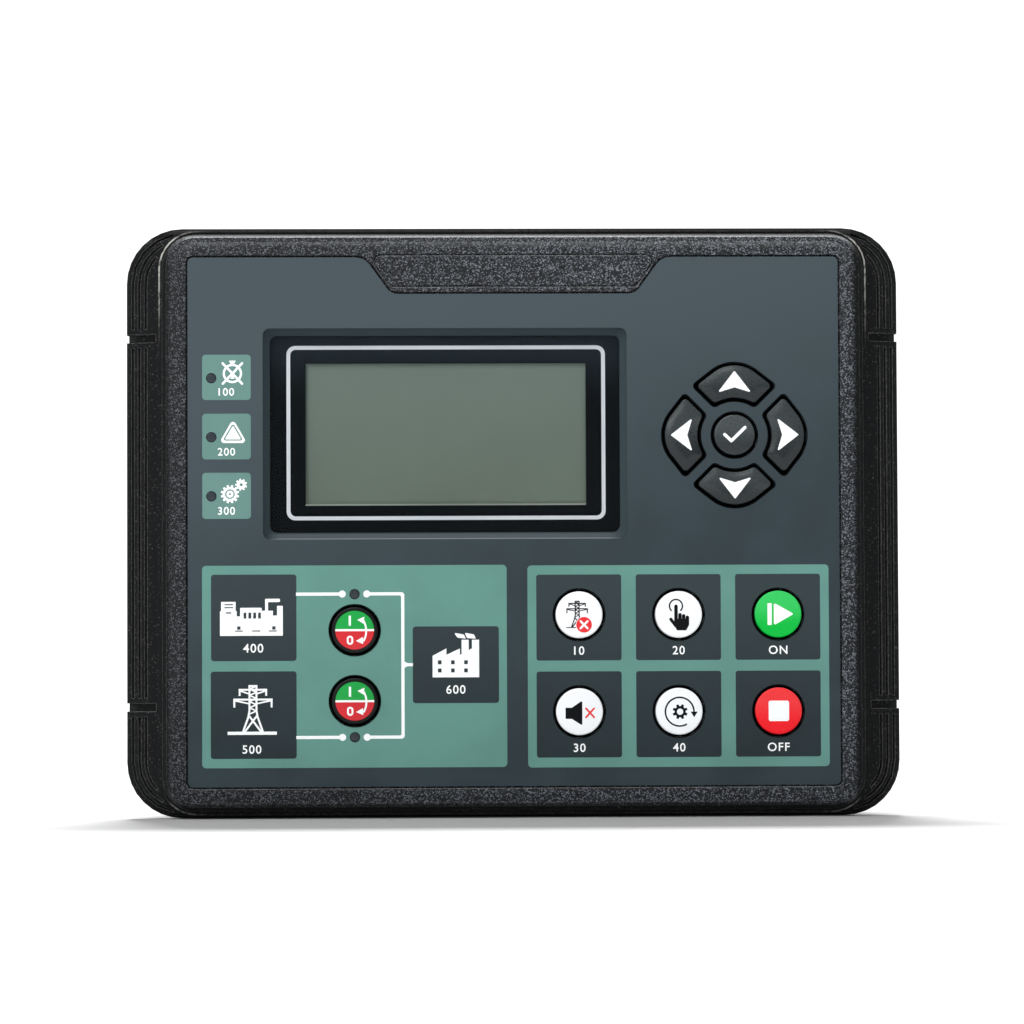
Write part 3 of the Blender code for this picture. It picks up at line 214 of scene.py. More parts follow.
def mesh_object(name, points, faces, material, body="controller_body", smooth=False):
    """A shown piece from (x, height, z) points in millimetres, riding on a body."""
    mesh = bpy.data.meshes.new(name)
    mesh.from_pydata([(x / 1000, -h / 1000, z / 1000) for x, h, z in points], [], faces)
    mesh.materials.append(material)
    mesh.polygons.foreach_set("use_smooth", [smooth] * len(mesh.polygons))
    mesh.update()
    made = add_object(name, mesh)
    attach(made, body)
    return made


def inside(points, loops):
    """Which of the points lie in the shape, by the even-odd rule."""
    x, z = points[:, 0, None], points[:, 1, None]
    hit = np.zeros(len(points), bool)
    for loop in loops:
        a = np.array(loop)
        b = np.roll(a, -1, axis=0)
        crossing = (a[:, 1] > z) != (b[:, 1] > z)
        rise = np.where(crossing, b[:, 1] - a[:, 1], 1)
        at = (b[:, 0] - a[:, 0]) * (z - a[:, 1]) / rise + a[:, 0]
        hit ^= (crossing & (x < at)).sum(1) % 2 == 1
    return hit


def fill(shapes, cuts=(), grid=0):
    """Triangles that cover any of the shapes and none of the cuts, with a grid for curved caps."""
    points, edges = [], []
    for shape in [*shapes, *cuts]:
        for loop in shape:
            first, count = len(points), len(loop)
            points += loop
            edges += [(first + i, first + (i + 1) % count) for i in range(count)]
    if grid:
        low, high = np.min(points, axis=0), np.max(points, axis=0)
        for x in np.arange(low[0] + grid / 2, high[0], grid):
            points += [(x, z) for z in np.arange(low[1] + grid / 2, high[1], grid)]
    made = delaunay_2d_cdt([Vector(p) for p in points], edges, [], 0, 1e-5, False)
    flat = np.array([tuple(p) for p in made[0]])
    faces = np.array([tuple(face) for face in made[2]])
    middles = flat[faces].mean(1)
    keep = np.zeros(len(faces), bool)
    for shape in shapes:
        keep |= inside(middles, shape)
    for shape in cuts:
        keep &= ~inside(middles, shape)
    faces = faces[keep]
    used = np.unique(faces)
    place = np.zeros(len(flat), int)
    place[used] = np.arange(len(used))
    return flat[used], place[faces]


def facing_front(flat, faces):
    """The faces wound so that they look out of the face."""
    a, b, c = (flat[faces[:, i]] for i in range(3))
    area = (b - a)[:, 0] * (c - a)[:, 1] - (b - a)[:, 1] * (c - a)[:, 0]
    return np.where((area < 0)[:, None], faces[:, ::-1], faces)


def cap_tree(key):
    """The surface of a shown key, for prints that follow it."""
    mesh = key.data
    return BVHTree.FromPolygons([v.co for v in mesh.vertices], [p.vertices for p in mesh.polygons])


def short_edges(shape):
    """The shape with points added so that no edge is longer than the grid on a cap."""
    loops = []
    for loop in shape:
        points = []
        for (x0, z0), (x1, z1) in zip(loop, loop[1:] + loop[:1]):
            parts = max(1, math.ceil(math.hypot(x1 - x0, z1 - z0) / CAP_GRID))
            points += [(x0 + (x1 - x0) * i / parts, z0 + (z1 - z0) * i / parts) for i in range(parts)]
        loops.append(points)
    return loops


def print_sheet(name, shapes, layer, material, cuts=(), body="controller_body", tree=None):
    """A flat field of print on the face plate, or a curved one on a key cap."""
    if tree:
        shapes = [short_edges(shape) for shape in shapes]
        cuts = [short_edges(shape) for shape in cuts]
    flat, faces = fill(shapes, cuts, CAP_GRID if tree else 0)
    faces = facing_front(flat, faces)
    points = []
    for x, z in flat:
        height = PLATE_FRONT
        if tree:
            hit = tree.ray_cast(Vector((x / 1000, -0.03, z / 1000)), Vector((0, 1, 0)))[0]
            height = -1000 * hit.y
        points.append((x, height + layer * PRINT_STEP, z))
    return mesh_object(name, points, faces.tolist(), material, body, smooth=bool(tree))


def flat_sheet(name, shapes, height, material):
    """A flat sheet at a height in front of the panel."""
    flat, faces = fill(shapes)
    mesh_object(name, [(x, height, z) for x, z in flat], facing_front(flat, faces).tolist(), material)


def ring_faces(low, high, count):
    """The faces between two rings of points, each given by its first point."""
    return [(low + i, low + (i + 1) % count, high + (i + 1) % count, high + i) for i in range(count)]


def lathe(rings, centre, sides=FINE):
    """Points and faces of a solid turned about a line out of the face, from its back to its top."""
    points, faces = [], []
    for radius, height in rings:
        points += [(x, height, z) for x, z in circle(centre, radius, sides)]
    top = len(points) - sides
    for first in range(0, top, sides):
        faces += ring_faces(first, first + sides, sides)
    faces.append([i for i in reversed(range(sides))])
    faces.append([top + i for i in range(sides)])
    return points, faces


def text_loops(words, height):
    """The filled outline of words from the built-in font, with its middle at the origin."""
    curve = bpy.data.curves.new("words", "FONT")
    curve.body = words
    curve.size = 1
    curve.space_character = FONT_SPACING
    curve.offset = FONT_WEIGHT
    curve.resolution_u = 6
    holder = add_object("words", curve)
    graph = bpy.context.evaluated_depsgraph_get()
    mesh = holder.evaluated_get(graph).to_mesh()
    flat = np.array([(v.co.x, v.co.y) for v in mesh.vertices])
    faces = [tuple(p.vertices) for p in mesh.polygons]
    holder.evaluated_get(graph).to_mesh_clear()
    bpy.data.objects.remove(holder)
    low, high = flat.min(0), flat.max(0)
    return (flat - (low + high) / 2) * height / (high[1] - low[1]), faces


def caption_sheet(name, captions, layer, material):
    """Plain captions as (words, centre, cap height)."""
    points, faces = [], []
    for words, centre, height in captions:
        flat, fans = text_loops(words, height)
        first = len(points)
        points += [(x + centre[0], PLATE_FRONT + layer * PRINT_STEP, z + centre[1]) for x, z in flat]
        for fan in fans:
            for i in range(1, len(fan) - 1):
                faces.append((first + fan[0], first + fan[i], first + fan[i + 1]))
    return mesh_object(name, points, faces, material)


# Finishes


def shade(colour):
    return (*[linear(part) for part in colour], 1)


class Surface:
    """A new material with its shader, and short ways to add the nodes that feed it."""

    def __init__(self, name, kind="ShaderNodeBsdfPrincipled"):
        self.material = bpy.data.materials.new(name)
        self.material.use_nodes = True
        self.tree = self.material.node_tree
        self.tree.nodes.clear()
        self.shader = self.add(kind)
        self.add("ShaderNodeOutputMaterial", {0: self.shader.outputs[0]})
        self.place = self.add("ShaderNodeTexCoord").outputs["Object"]

    def feed(self, node, inputs):
        """Gives a node's sockets plain values or other nodes' outputs."""
        for socket, value in inputs.items():
            if isinstance(value, bpy.types.NodeSocket):
                self.tree.links.new(value, node.inputs[socket])
            else:
                node.inputs[socket].default_value = value

    def add(self, kind, inputs=None, **settings):
        made = self.tree.nodes.new(kind)
        for key, value in settings.items():
            setattr(made, key, value)
        self.feed(made, inputs or {})
        return made

    def maths(self, operation, *values):
        return self.add("ShaderNodeMath", dict(enumerate(values)), operation=operation).outputs[0]

    def times(self, product, *others):
        for other in others:
            product = self.maths("MULTIPLY", product, other)
        return product

    def ramp(self, source, low, high, to_low=0.0, to_high=1.0):
        """The source mapped smoothly from low..high to to_low..to_high."""
        inputs = dict(enumerate((source, low, high, to_low, to_high)))
        return self.add("ShaderNodeMapRange", inputs, interpolation_type="SMOOTHSTEP").outputs[0]

    def tint(self, amount, first, second):
        """A mix of two colours, each of them 0 to 255 or a node's output."""
        inputs = {0: amount}
        for socket, value in ((6, first), (7, second)):
            inputs[socket] = value if isinstance(value, bpy.types.NodeSocket) else shade(value)
        return self.add("ShaderNodeMix", inputs, data_type="RGBA").outputs[2]

    def noise(self, scale, detail=2.0):
        inputs = {"Vector": self.place, "Scale": scale, "Detail": detail}
        return self.add("ShaderNodeTexNoise", inputs).outputs["Fac"]

    def parts(self, vector):
        return self.add("ShaderNodeSeparateXYZ", {0: vector}).outputs

    def rounded_normal(self, radius):
        """The normal that the surface would have with rounded edges."""
        return self.add("ShaderNodeBevel", {"Radius": radius}, samples=4).outputs[0]

    def within(self, x, z, region, soft):
        """One inside the region of the face and nothing outside it, in millimetres."""
        left, right, low, high = region
        sides = ((x, left, 1), (x, right, -1), (z, low, 1), (z, high, -1))
        return self.times(*[self.ramp(source, edge / 1000, (edge + ahead * soft) / 1000)
                            for source, edge, ahead in sides])


def finish(name, colour, roughness, specular=0.5, metallic=0.0, grain=1500.0, height=2e-5,
           variation=0.12, bevel=0.0, coat=0.0, top=None, span=None, lean=0.0, glow=0.0):
    """A surface with fine grain in its height and gloss and, with top, another colour higher up; it can
    also be given a painted glow.
    """
    made = Surface(name)
    fine = made.noise(grain)
    low = [part * (1 - variation / 2) for part in colour]
    high = [min(255, part * (1 + variation / 2)) for part in colour]
    base = made.tint(made.ramp(made.noise(60.0, 3.0), 0.3, 0.7), low, high)
    if top:
        x, _, z = made.parts(made.place)
        if lean:
            z = made.maths("ADD", z, made.times(x, lean))
        base = made.tint(made.ramp(z, *span), base, top)
    bump = made.add("ShaderNodeBump", {"Strength": 0.5, "Distance": height, "Height": fine})
    if bevel:
        made.feed(bump, {"Normal": made.rounded_normal(bevel)})
    made.feed(made.shader, {
        "Base Color": base,
        "Roughness": made.ramp(fine, 0.25, 0.75, roughness - 0.05, roughness + 0.05),
        "Metallic": metallic,
        "Specular IOR Level": specular,
        "Emission Color": shade(colour),
        "Emission Strength": glow,
        "Coat Weight": coat,
        "Coat Roughness": 0.15,
        "Normal": bump.outputs[0],
    })
    return made.material


def print_finish(name, colour, roughness=0.45, specular=0.25, height=4e-6, **more):
    """Screen print, with a finer grain than moulded plastic."""
    return finish(name, colour, roughness, specular, grain=2600, height=height, **more)


def smooth_finish(name, colour, roughness, specular, variation=0.04, **more):
    """Smooth plastic or gloss print, with hardly any grain."""
    return finish(name, colour, roughness, specular, variation=variation, height=3e-6, **more)


def deck_colour(made, x, z, cells, sparks, upward):
    """Grain with light specks that are painted glints, painted shade to the left, and painted highlights
    on the edges that look up.
    """
    body = made.tint(made.ramp(cells, 0.28, 0.72), BEZEL_LOW, BEZEL_HIGH)
    specked = made.tint(made.ramp(sparks, 0.62, 1.0), body, BEZEL_GLINT)
    # Painted shade: darker towards the left.
    across = made.times(made.ramp(x, -0.065, 0.02, 0.64, 1.0), made.ramp(x, -0.0925, -0.086, 0.72, 1.0))
    specked = made.tint(across, DARK, specked)
    # Painted highlight on the edges that look up, fading at the very top.
    lit = made.times(made.ramp(upward, 0.08, 0.4), made.ramp(cells, 0.35, 0.6, 0.3, 1.0),
                     made.ramp(z, *TOP_EDGE, 1.0, 0.1))
    return made.tint(lit, specked, EDGE_HIGHLIGHT)


def lip_light(made, x, y, z):
    """Painted highlight on the raised lip, broken, at its top and bottom and towards its corners."""
    level = made.times(made.ramp(y, *LIP_FOOT), made.ramp(y, *LIP_HEAD))
    bright = made.maths("MAXIMUM", made.ramp(z, 0.046, 0.074), made.ramp(z, -0.074, -0.0775, 0.0, 0.5))
    broken = made.ramp(made.noise(700.0, 3.0), 0.36, 0.56, 0.25, 1.0)
    outer = made.ramp(made.maths("ABSOLUTE", x), 0.081, 0.092, 0.1, 1.0)
    return made.times(level, bright, broken, outer)


def wing_colour(made, x, y, z, cells, sparks, turn):
    """Plain black with rare specks, painted highlights along the crests, lighter on the flange and with
    the painted highlight on the lip.
    """
    wings = made.tint(made.ramp(sparks, 0.945, 1.0), WING_COLOUR, WING_SPECK)
    crest_highlight = made.times(made.ramp(turn, 0.985, 0.9), made.ramp(cells, 0.3, 0.6, 0.25, 1.0))
    wings = made.tint(crest_highlight, wings, CREST_HIGHLIGHT)
    wings = made.tint(made.ramp(y, *FLANGE_RISE), wings, FLANGE_COLOUR)
    return made.tint(lip_light(made, x, y, z), wings, LIP_HIGHLIGHT)


def recess_colour(made, x, z):
    """The screen frame's walls, with painted light on its foot and a painted highlight line along its
    lower edge.
    """
    ledge = made.tint(made.ramp(z, *FOOT_EDGE), RECESS_FOOT_LIGHT, RECESS_EDGE_HIGHLIGHT)
    foot = made.times(made.ramp(z, *FOOT_RISE), made.within(x, z, FOOT_REGION, 5.0))
    return made.tint(foot, RECESS_COLOUR, ledge)


def bezel_finish():
    """Black plastic: grain with painted glints on the deck and the tab, plain elsewhere, painted
    highlights on its edges and painted shade along its top.
    """
    made = Surface("bezel_grained_plastic")
    x, y, z = made.parts(made.place)
    recess = made.within(x, z, RECESS_REGION, 0.1)
    deck = made.times(made.within(x, z, GRAIN_REGION, 2.0), made.ramp(y, *DECK_RISE),
                      made.maths("SUBTRACT", 1.0, recess))
    cells = made.noise(1500.0)
    grain = made.maths("ADD", made.noise(3300.0, 1.0), made.times(cells, 0.6))
    glint = made.add("ShaderNodeTexVoronoi", {"Scale": 3500, "Vector": made.place}).outputs["Color"]
    sparks, rare_sparks, _ = made.add("ShaderNodeSeparateColor", {0: glint}).outputs

    edge = made.rounded_normal(0.0003)
    normals = {0: edge, 1: made.add("ShaderNodeNewGeometry").outputs["True Normal"]}
    turn = made.add("ShaderNodeVectorMath", normals, operation="DOT_PRODUCT").outputs["Value"]
    rise = made.add("ShaderNodeVectorMath", normals, operation="SUBTRACT").outputs[0]
    wings = wing_colour(made, x, y, z, cells, rare_sparks, turn)
    plain = made.tint(recess, wings, recess_colour(made, x, z))
    specked = deck_colour(made, x, z, cells, sparks, made.parts(rise)[2])

    # Painted shade: the top band that faces the top lamp is darkened.
    painted_top_shade = made.ramp(z, *TOP_FALL, 1.0, 0.25)
    bump = made.add("ShaderNodeBump", {"Strength": made.ramp(deck, 0, 1, 0.06, 0.7),
                                       "Distance": 0.00022, "Height": grain, "Normal": edge})
    made.feed(made.shader, {
        "Base Color": made.tint(painted_top_shade, DARK, made.tint(deck, plain, specked)),
        "Roughness": made.ramp(deck, 0, 1, 0.6, 0.5),
        "Specular IOR Level": made.times(made.ramp(deck, 0, 1, 0.04, 0.25), painted_top_shade),
        "Normal": bump.outputs[0],
    })
    return made.material


def lens_finish():
    """Clear acrylic: what is behind shows through, under a weak reflection."""
    made = Surface("lens_acrylic", "ShaderNodeMixShader")
    clear = made.add("ShaderNodeBsdfTransparent", {0: (0.93, 0.94, 0.95, 1)})
    gloss = made.add("ShaderNodeBsdfGlossy", {"Roughness": 0.08, "Color": (0.9, 0.95, 1, 1)})
    facing = made.add("ShaderNodeFresnel", {"IOR": 1.2}).outputs[0]
    share = made.times(facing, made.ramp(made.noise(25.0, 1.0), 0, 1, 0.9, 1.1))
    made.feed(made.shader, {0: share, 1: clear.outputs[0], 2: gloss.outputs[0]})
    return made.material


# Places on the bezel: regions as left, right, low, high in millimetres, levels in metres

GRAIN_REGION = (-93.8, 92.9, -76.9, 78.2)
RECESS_REGION = (-68.2, 31.3, -5.5, 52.8)
FOOT_REGION = (-67.0, 30.0, -15.0, 15.0)
DECK_RISE = (-0.0096, -0.0102)
FLANGE_RISE = (-0.0056, -0.0049)
LIP_FOOT, LIP_HEAD = (-0.00868, -0.0088), (-0.00925, -0.0091)
# Where the painted edge highlight fades, and where the painted shade along the top begins
TOP_EDGE, TOP_FALL = (0.0752, 0.0762), (0.0762, 0.0776)
# Where the painted light on the frame's foot and its painted highlight line lie
FOOT_RISE, FOOT_EDGE = (-0.0030, -0.0036), (-0.00440, -0.00462)

# Colours as they look on screen, as read off the photo

# Black, towards which the painted shade on the bezel goes
DARK = (0, 0, 0)
# The bezel's grain; its light specks are painted glints.
BEZEL_LOW, BEZEL_HIGH, BEZEL_GLINT = (17, 19, 21), (33, 36, 41), (122, 127, 135)
WING_COLOUR, WING_SPECK = (25, 26, 27), (74, 74, 73)
FLANGE_COLOUR = (40, 41, 42)
# Painted highlight along the crests of the ribs.
CREST_HIGHLIGHT = (110, 111, 109)
# Painted highlight on the deck's edges that look up.
EDGE_HIGHLIGHT = (150, 152, 152)
# Painted highlight on the lip.
LIP_HIGHLIGHT = (176, 176, 170)
# Screen frame walls, with painted light on the foot and a painted highlight line.
RECESS_COLOUR, RECESS_FOOT_LIGHT, RECESS_EDGE_HIGHLIGHT = (55, 66, 70), (78, 86, 90), (122, 131, 135)
# Key caps: the low colour is painted shade at a cap's foot, the high colour painted light at its head.
ARROW_LOW, ARROW_HIGH = (24, 31, 34), (52, 59, 61)
START_LOW, START_HIGH = (0, 192, 66), (58, 204, 100)
STOP_LOW, STOP_HIGH = (248, 30, 42), (246, 62, 66)
CENTRE_LOW, CENTRE_HIGH = (36, 43, 46), (66, 73, 75)
PAPER_NEAR, PAPER_FAR = (196, 196, 196), (174, 174, 174)

BEZEL = bezel_finish()
# The plate is lighter towards its top: a painted sheen of the light from above.
PLATE = print_finish("plate_satin_film", (46, 59, 65), 0.42, top=(67, 79, 85), span=(-0.03, 0.062),
                     lean=-0.26)
TEAL = print_finish("print_teal", (99, 148, 138), variation=0.05)
TEAL_TILE = print_finish("print_indicator_teal", (101, 139, 132), variation=0.04)
# The dark tiles are lighter towards their top: a painted sheen of the light from above.
TILE = print_finish("print_slate_tile", (35, 47, 52), 0.42, top=(50, 62, 66), span=(-0.064, -0.012),
                    variation=0.1)
# The white print glows a little: painted light.
WHITE = print_finish("print_white", (246, 249, 250), specular=0.3, variation=0.02, glow=0.1)
BLACK = print_finish("print_black", (12, 15, 18), 0.5, 0.1)
# The black border is lighter towards its top: painted light from above.
BORDER = print_finish("print_border_black", (11, 16, 19), 0.6, 0.0, height=1e-6, top=(40, 49, 56),
                      span=(0.032, 0.052))
SILVER = print_finish("print_silver", (250, 252, 255), specular=0.1, variation=0.04)
RED_PRINT = finish("print_red", (240, 40, 48), 0.4, 0.4, variation=0.04, height=4e-6)
# The white caps glow a little: painted light.
CAP_WHITE = smooth_finish("cap_white_gloss", (244, 247, 250), 0.22, 0.5, 0.02, coat=0.3, glow=0.1)
DISC_GREEN = smooth_finish("disc_green_print", (14, 164, 68), 0.35, 0.4)
DISC_RED = smooth_finish("disc_red_print", (216, 32, 44), 0.35, 0.4)
CAP_BLACK = smooth_finish("cap_black_gloss", (8, 10, 11), 0.34, 0.25, 0.06)
SKIRT = smooth_finish("key_skirt_black", (5, 6, 7), 0.7, 0.05, 0.1)
LAMP = smooth_finish("lamp_smoked_acrylic", (48, 56, 61), 0.3, 0.3, 0.06)
LENS = lens_finish()
DISPLAY = finish("display_grey_green", (123, 135, 120), 0.4, 0.1, top=(128, 141, 130),
                 span=(0.006, 0.042), variation=0.04, height=2e-6)
# A painted highlight for the display's lower edge.
LCD_EDGE_HIGHLIGHT = finish("glass_edge_painted_highlight", (168, 173, 160), 0.3, 0.3, variation=0.1, height=2e-6)
BACKLIGHT = finish("backlight_milky", (214, 220, 214), 0.5, 0.3, variation=0.04)
FRAME_STEEL = finish("blackened_steel", (30, 31, 32), 0.5, 0.3, metallic=0.4, variation=0.1)
SCREW_STEEL = finish("zinc_plated_steel", (176, 178, 174), 0.3, 0.5, metallic=1.0, bevel=0.0002)
RUBBER = finish("silicone_mat", (30, 30, 31), 0.75, 0.25, variation=0.15)
BOARD = finish("solder_mask_green", (22, 74, 46), 0.4, 0.4, variation=0.15, bevel=0.0001)
SWITCH = finish("switch_black_nylon", (30, 30, 31), 0.5, 0.3)
HOUSING = finish("housing_spark_grain", (31, 32, 34), 0.55, 0.35, grain=2200, height=7e-5,
                 bevel=0.0004)
FOAM = finish("gasket_foam", (24, 24, 25), 0.85, 0.15, grain=3000, height=9e-5, variation=0.2)
SOCKET = finish("socket_green", (20, 74, 44), 0.5, 0.4, variation=0.08, bevel=0.0002)
PLUG = finish("plug_green", (24, 92, 54), 0.45, 0.35, variation=0.08, bevel=0.0003)

# The frame's own pieces


def crisp(shown, degrees=40):
    """Keeps edges that turn by more than the angle sharp under smooth shading."""
    shown.modifiers.new("crisp", "EDGE_SPLIT").split_angle = math.radians(degrees)


def dress(node, material):
    """Gives a shown CAD node its finish and smooth round faces with crisp edges."""
    shown = NODES[node]
    mesh = shown.data
    mesh.materials.clear()
    mesh.materials.append(material)
    for name in ("custom_normal", "sharp_face", "sharp_edge"):
        found = mesh.attributes.get(name)
        if found:
            mesh.attributes.remove(found)
    mesh.polygons.foreach_set("use_smooth", [True] * len(mesh.polygons))
    mesh.update()
    shown.modifiers.new("weld", "WELD").merge_threshold = 1e-6
    crisp(shown, 32)


DRESSES = {
    "front_bezel": BEZEL,
    "lcd_window": LENS,
    "lcd_frame": FRAME_STEEL,
    "lcd_glass": DISPLAY,
    "lcd_backlight": BACKLIGHT,
    "keypad_mat": RUBBER,
    "front_board": BOARD,
    "rear_board": BOARD,
    "board_link": SWITCH,
    "rear_housing": HOUSING,
    "panel_gasket": FOAM,
    "panel_clip": HOUSING,
    "clip_screw": SCREW_STEEL,
    "case_screw": SCREW_STEEL,
    "terminal_socket": SOCKET,
    "switch": SWITCH,
}
for node in NODES:
    for start, material in DRESSES.items():
        if node == start or node.startswith(start + "_"):
            dress(node, material)
            break


def middle(node):
    low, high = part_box(node)
    return (500 * (low.x + high.x), 500 * (low.z + high.z))


def height_of(node):
    """The heights of a node's back and front, in millimetres in front of the panel."""
    low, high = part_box(node)
    return -1000 * high.y, -1000 * low.y


PLATE_BACK, PLATE_FRONT = height_of("face_plate")

# Keys, with the same sizes as the frame's and finer curves

NAV = middle("key_centre")
ROUND_KEYS = {
    "key_genset_breaker": (6.9, "nav_black"),
    "key_mains_breaker": (6.9, "nav_black"),
    "key_load_test": (7.0, "key_white"),
    "key_manual": (7.0, "key_white"),
    "key_start": (7.0, "key_green"),
    "key_lamp_test": (7.0, "key_white"),
    "key_auto": (7.0, "key_white"),
    "key_stop": (7.0, "key_red"),
    "key_centre": (6.28, "nav_black"),
}
KEY_GAPS = {name: 0.8 if name == "key_centre" else 0.7 for name in ROUND_KEYS}
KEY_TOP = PLATE_FRONT + 0.9
KEY_ROUND = 0.4
DOME, DOME_STEPS = 0.56, 12
FLANGE_BACK, FLANGE_FRONT = 8.5, 9.5
FLANGE_REACH = 0.8
STEM = 1.5
ARROWS = ("key_right", "key_up", "key_left", "key_down")
NAV_OUTER, NAV_APEX, NAV_INNER, NAV_WEB = 19.6, 10.0, 9.2, 2.8
NAV_CORNER, NAV_INNER_CORNER = 1.2, 1.4
NAV_FLANK = math.radians(38)
NAV_GAP = 0.8
NAV_DOME_REACH, NAV_DOME_STEPS = 2.4, 10


def body_of_key(name):
    return name.replace("key_", "")


def on_nav(points, quarters):
    """An outline drawn round the origin, turned and moved to its place among the arrow keys."""
    return moved([turned(points, quarters)], NAV)[0]


def edge_round(radius, top, steps=5):
    """Rings round the edge of a cap, from its side to its top."""
    rings = []
    for i in range(steps + 1):
        angle = TURN / 4 * i / steps
        rings.append((radius - KEY_ROUND + KEY_ROUND * math.cos(angle),
                      top - KEY_ROUND + KEY_ROUND * math.sin(angle)))
    return rings


def painted_cap_shading(name, low, high, roughness=0.3, specular=0.4):
    """A cap's finish, with painted shade at the cap's own foot and painted light at its head."""
    bottom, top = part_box(name)
    span = (bottom.z * 0.75 + top.z * 0.25, bottom.z * 0.3 + top.z * 0.7)
    return smooth_finish(f"cap_{body_of_key(name)}", low, roughness, specular, top=high, span=span)


def key_object(name, points, faces, material):
    """A shown key in place of the frame's, with a black skirt and stem whatever its cap's colour."""
    made = mesh_object(name + "_fine", points, faces, material, body_of_key(name), smooth=True)
    mesh = made.data
    mesh.materials.append(SKIRT)
    for polygon in mesh.polygons:
        total = -1000 * sum(mesh.vertices[i].co.y for i in polygon.vertices)
        if total / len(polygon.vertices) < FLANGE_FRONT + 0.2:
            polygon.material_index = 1
    crisp(made)
    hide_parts(name)
    return made


def round_key(name, hole, material):
    back = height_of(name)[0]
    flange, radius = hole + FLANGE_REACH, hole - KEY_GAPS[name]
    rings = [(AXIS, back), (STEM, back), (STEM, FLANGE_BACK), (flange, FLANGE_BACK),
             (flange, FLANGE_FRONT), (radius, FLANGE_FRONT)]
    rings += edge_round(radius, KEY_TOP)
    for i in range(1, DOME_STEPS + 1):
        share = 1 - i / (DOME_STEPS + 0.2)
        rings.append(((radius - KEY_ROUND) * share, KEY_TOP + DOME / 2 * (1 - share * share)))
    points, faces = lathe(rings, middle(name))
    return key_object(name, points, faces, material)


def polar(radius, angle):
    return (radius * math.cos(angle), radius * math.sin(angle))


def sector(inset, inner_inset, corner, inner_corner):
    """The outline of the arrow key that points along +X: a round apex, two flanks, two sides."""
    apex, inner, side = NAV_APEX - inset, NAV_INNER + inner_inset, NAV_WEB / 2 + inset
    centre, near, across = NAV_OUTER - NAV_APEX, inner + inner_corner, side + corner
    diagonal = TURN / 8
    normal = diagonal + TURN / 4
    inner_turn = diagonal - math.asin((side + inner_corner) / near)
    along = centre * math.cos(NAV_FLANK) + apex - corner - across * math.cos(diagonal + NAV_FLANK)
    along /= math.cos(diagonal - NAV_FLANK)
    x, z = (along + across) * math.cos(diagonal), (along - across) * math.sin(diagonal)
    points = arc(polar(near, -inner_turn), inner_corner, math.pi - inner_turn, TURN - normal, 8)
    points += arc((x, -z), corner, -normal, -NAV_FLANK, 14)
    points += arc((centre, 0), apex, -NAV_FLANK, NAV_FLANK, 30)[1:-1]
    points += arc((x, z), corner, NAV_FLANK, normal, 14)
    points += arc(polar(near, inner_turn), inner_corner, normal, inner_turn + math.pi, 8)
    points += arc((0, 0), inner, inner_turn, -inner_turn, 24)[1:-1]
    return points


def arrow_key(name, quarters):
    levels = [(0, FLANGE_FRONT)]
    levels += [(1 - radius, height) for radius, height in edge_round(1, KEY_TOP)]
    for i in range(1, NAV_DOME_STEPS + 1):
        share = i / NAV_DOME_STEPS
        levels.append((KEY_ROUND + NAV_DOME_REACH * share, KEY_TOP + DOME * math.sin(share * TURN / 4)))
    points, faces = [], []
    for inset, height in levels:
        drawn = NAV_GAP + inset
        outline = sector(drawn, drawn, NAV_CORNER - drawn / 6, NAV_INNER_CORNER - drawn / 6)
        points += [(x, height, z) for x, z in on_nav(outline, quarters)]
    count = len(outline)
    top = len(points) - count
    for first in range(0, top, count):
        faces += ring_faces(first, first + count, count)
    faces.append([top + i for i in range(count)])

    foot = len(points)
    flange = on_nav(sector(-FLANGE_REACH, 0, NAV_CORNER, NAV_INNER_CORNER), quarters)
    for height in (FLANGE_BACK, FLANGE_FRONT):
        points += [(x, height, z) for x, z in flange]
    faces.append([foot + i for i in reversed(range(count))])
    faces.append([foot + count + i for i in range(count)])
    faces += ring_faces(foot, foot + count, count)

    stem = len(points)
    at = on_nav([((NAV_OUTER + NAV_INNER) / 2, 0)], quarters)[0]
    stalk, sides = lathe([(STEM, height_of(name)[0]), (STEM, FLANGE_BACK)], at, 32)
    points += stalk
    faces += [[stem + i for i in face] for face in sides]
    return key_object(name, points, faces, painted_cap_shading(name, ARROW_LOW, ARROW_HIGH))


CAP_FINISHES = {name: CAP_WHITE for name in ROUND_KEYS}
CAP_FINISHES["key_genset_breaker"] = CAP_FINISHES["key_mains_breaker"] = CAP_BLACK
CAP_FINISHES["key_start"] = painted_cap_shading("key_start", START_LOW, START_HIGH, specular=0.15)
CAP_FINISHES["key_stop"] = painted_cap_shading("key_stop", STOP_LOW, STOP_HIGH, specular=0.15)
CAP_FINISHES["key_centre"] = painted_cap_shading("key_centre", CENTRE_LOW, CENTRE_HIGH)
CAPS = {name: round_key(name, hole, CAP_FINISHES[name])
        for name, (hole, slot) in ROUND_KEYS.items()}
CAPS.update({name: arrow_key(name, quarters) for quarters, name in enumerate(ARROWS)})
TREES = {name: cap_tree(cap) for name, cap in CAPS.items()}

# Lamps and the face plate

LAMPS = [f"indicator_lens_{i}" for i in (1, 2, 3)] + ["breaker_lens_upper", "breaker_lens_lower"]
LAMP_HOLE, LAMP_FLANGE, LAMP_RADIUS = 1.4, 1.77, 1.27
SCREEN_CORNER = 1.9
for name in LAMPS:
    back, front = height_of(name)
    rings = [(AXIS, back), (LAMP_FLANGE, back), (LAMP_FLANGE, FLANGE_FRONT), (LAMP_RADIUS, FLANGE_FRONT),
             (LAMP_RADIUS, front - 0.1), (LAMP_RADIUS - 0.07, front - 0.03),
             (LAMP_RADIUS - 0.22, front), (AXIS, front + 0.06)]
    points, faces = lathe(rings, middle(name), 40)
    made = mesh_object(name + "_fine", points, faces, LAMP, smooth=True)
    crisp(made)
    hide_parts(name)


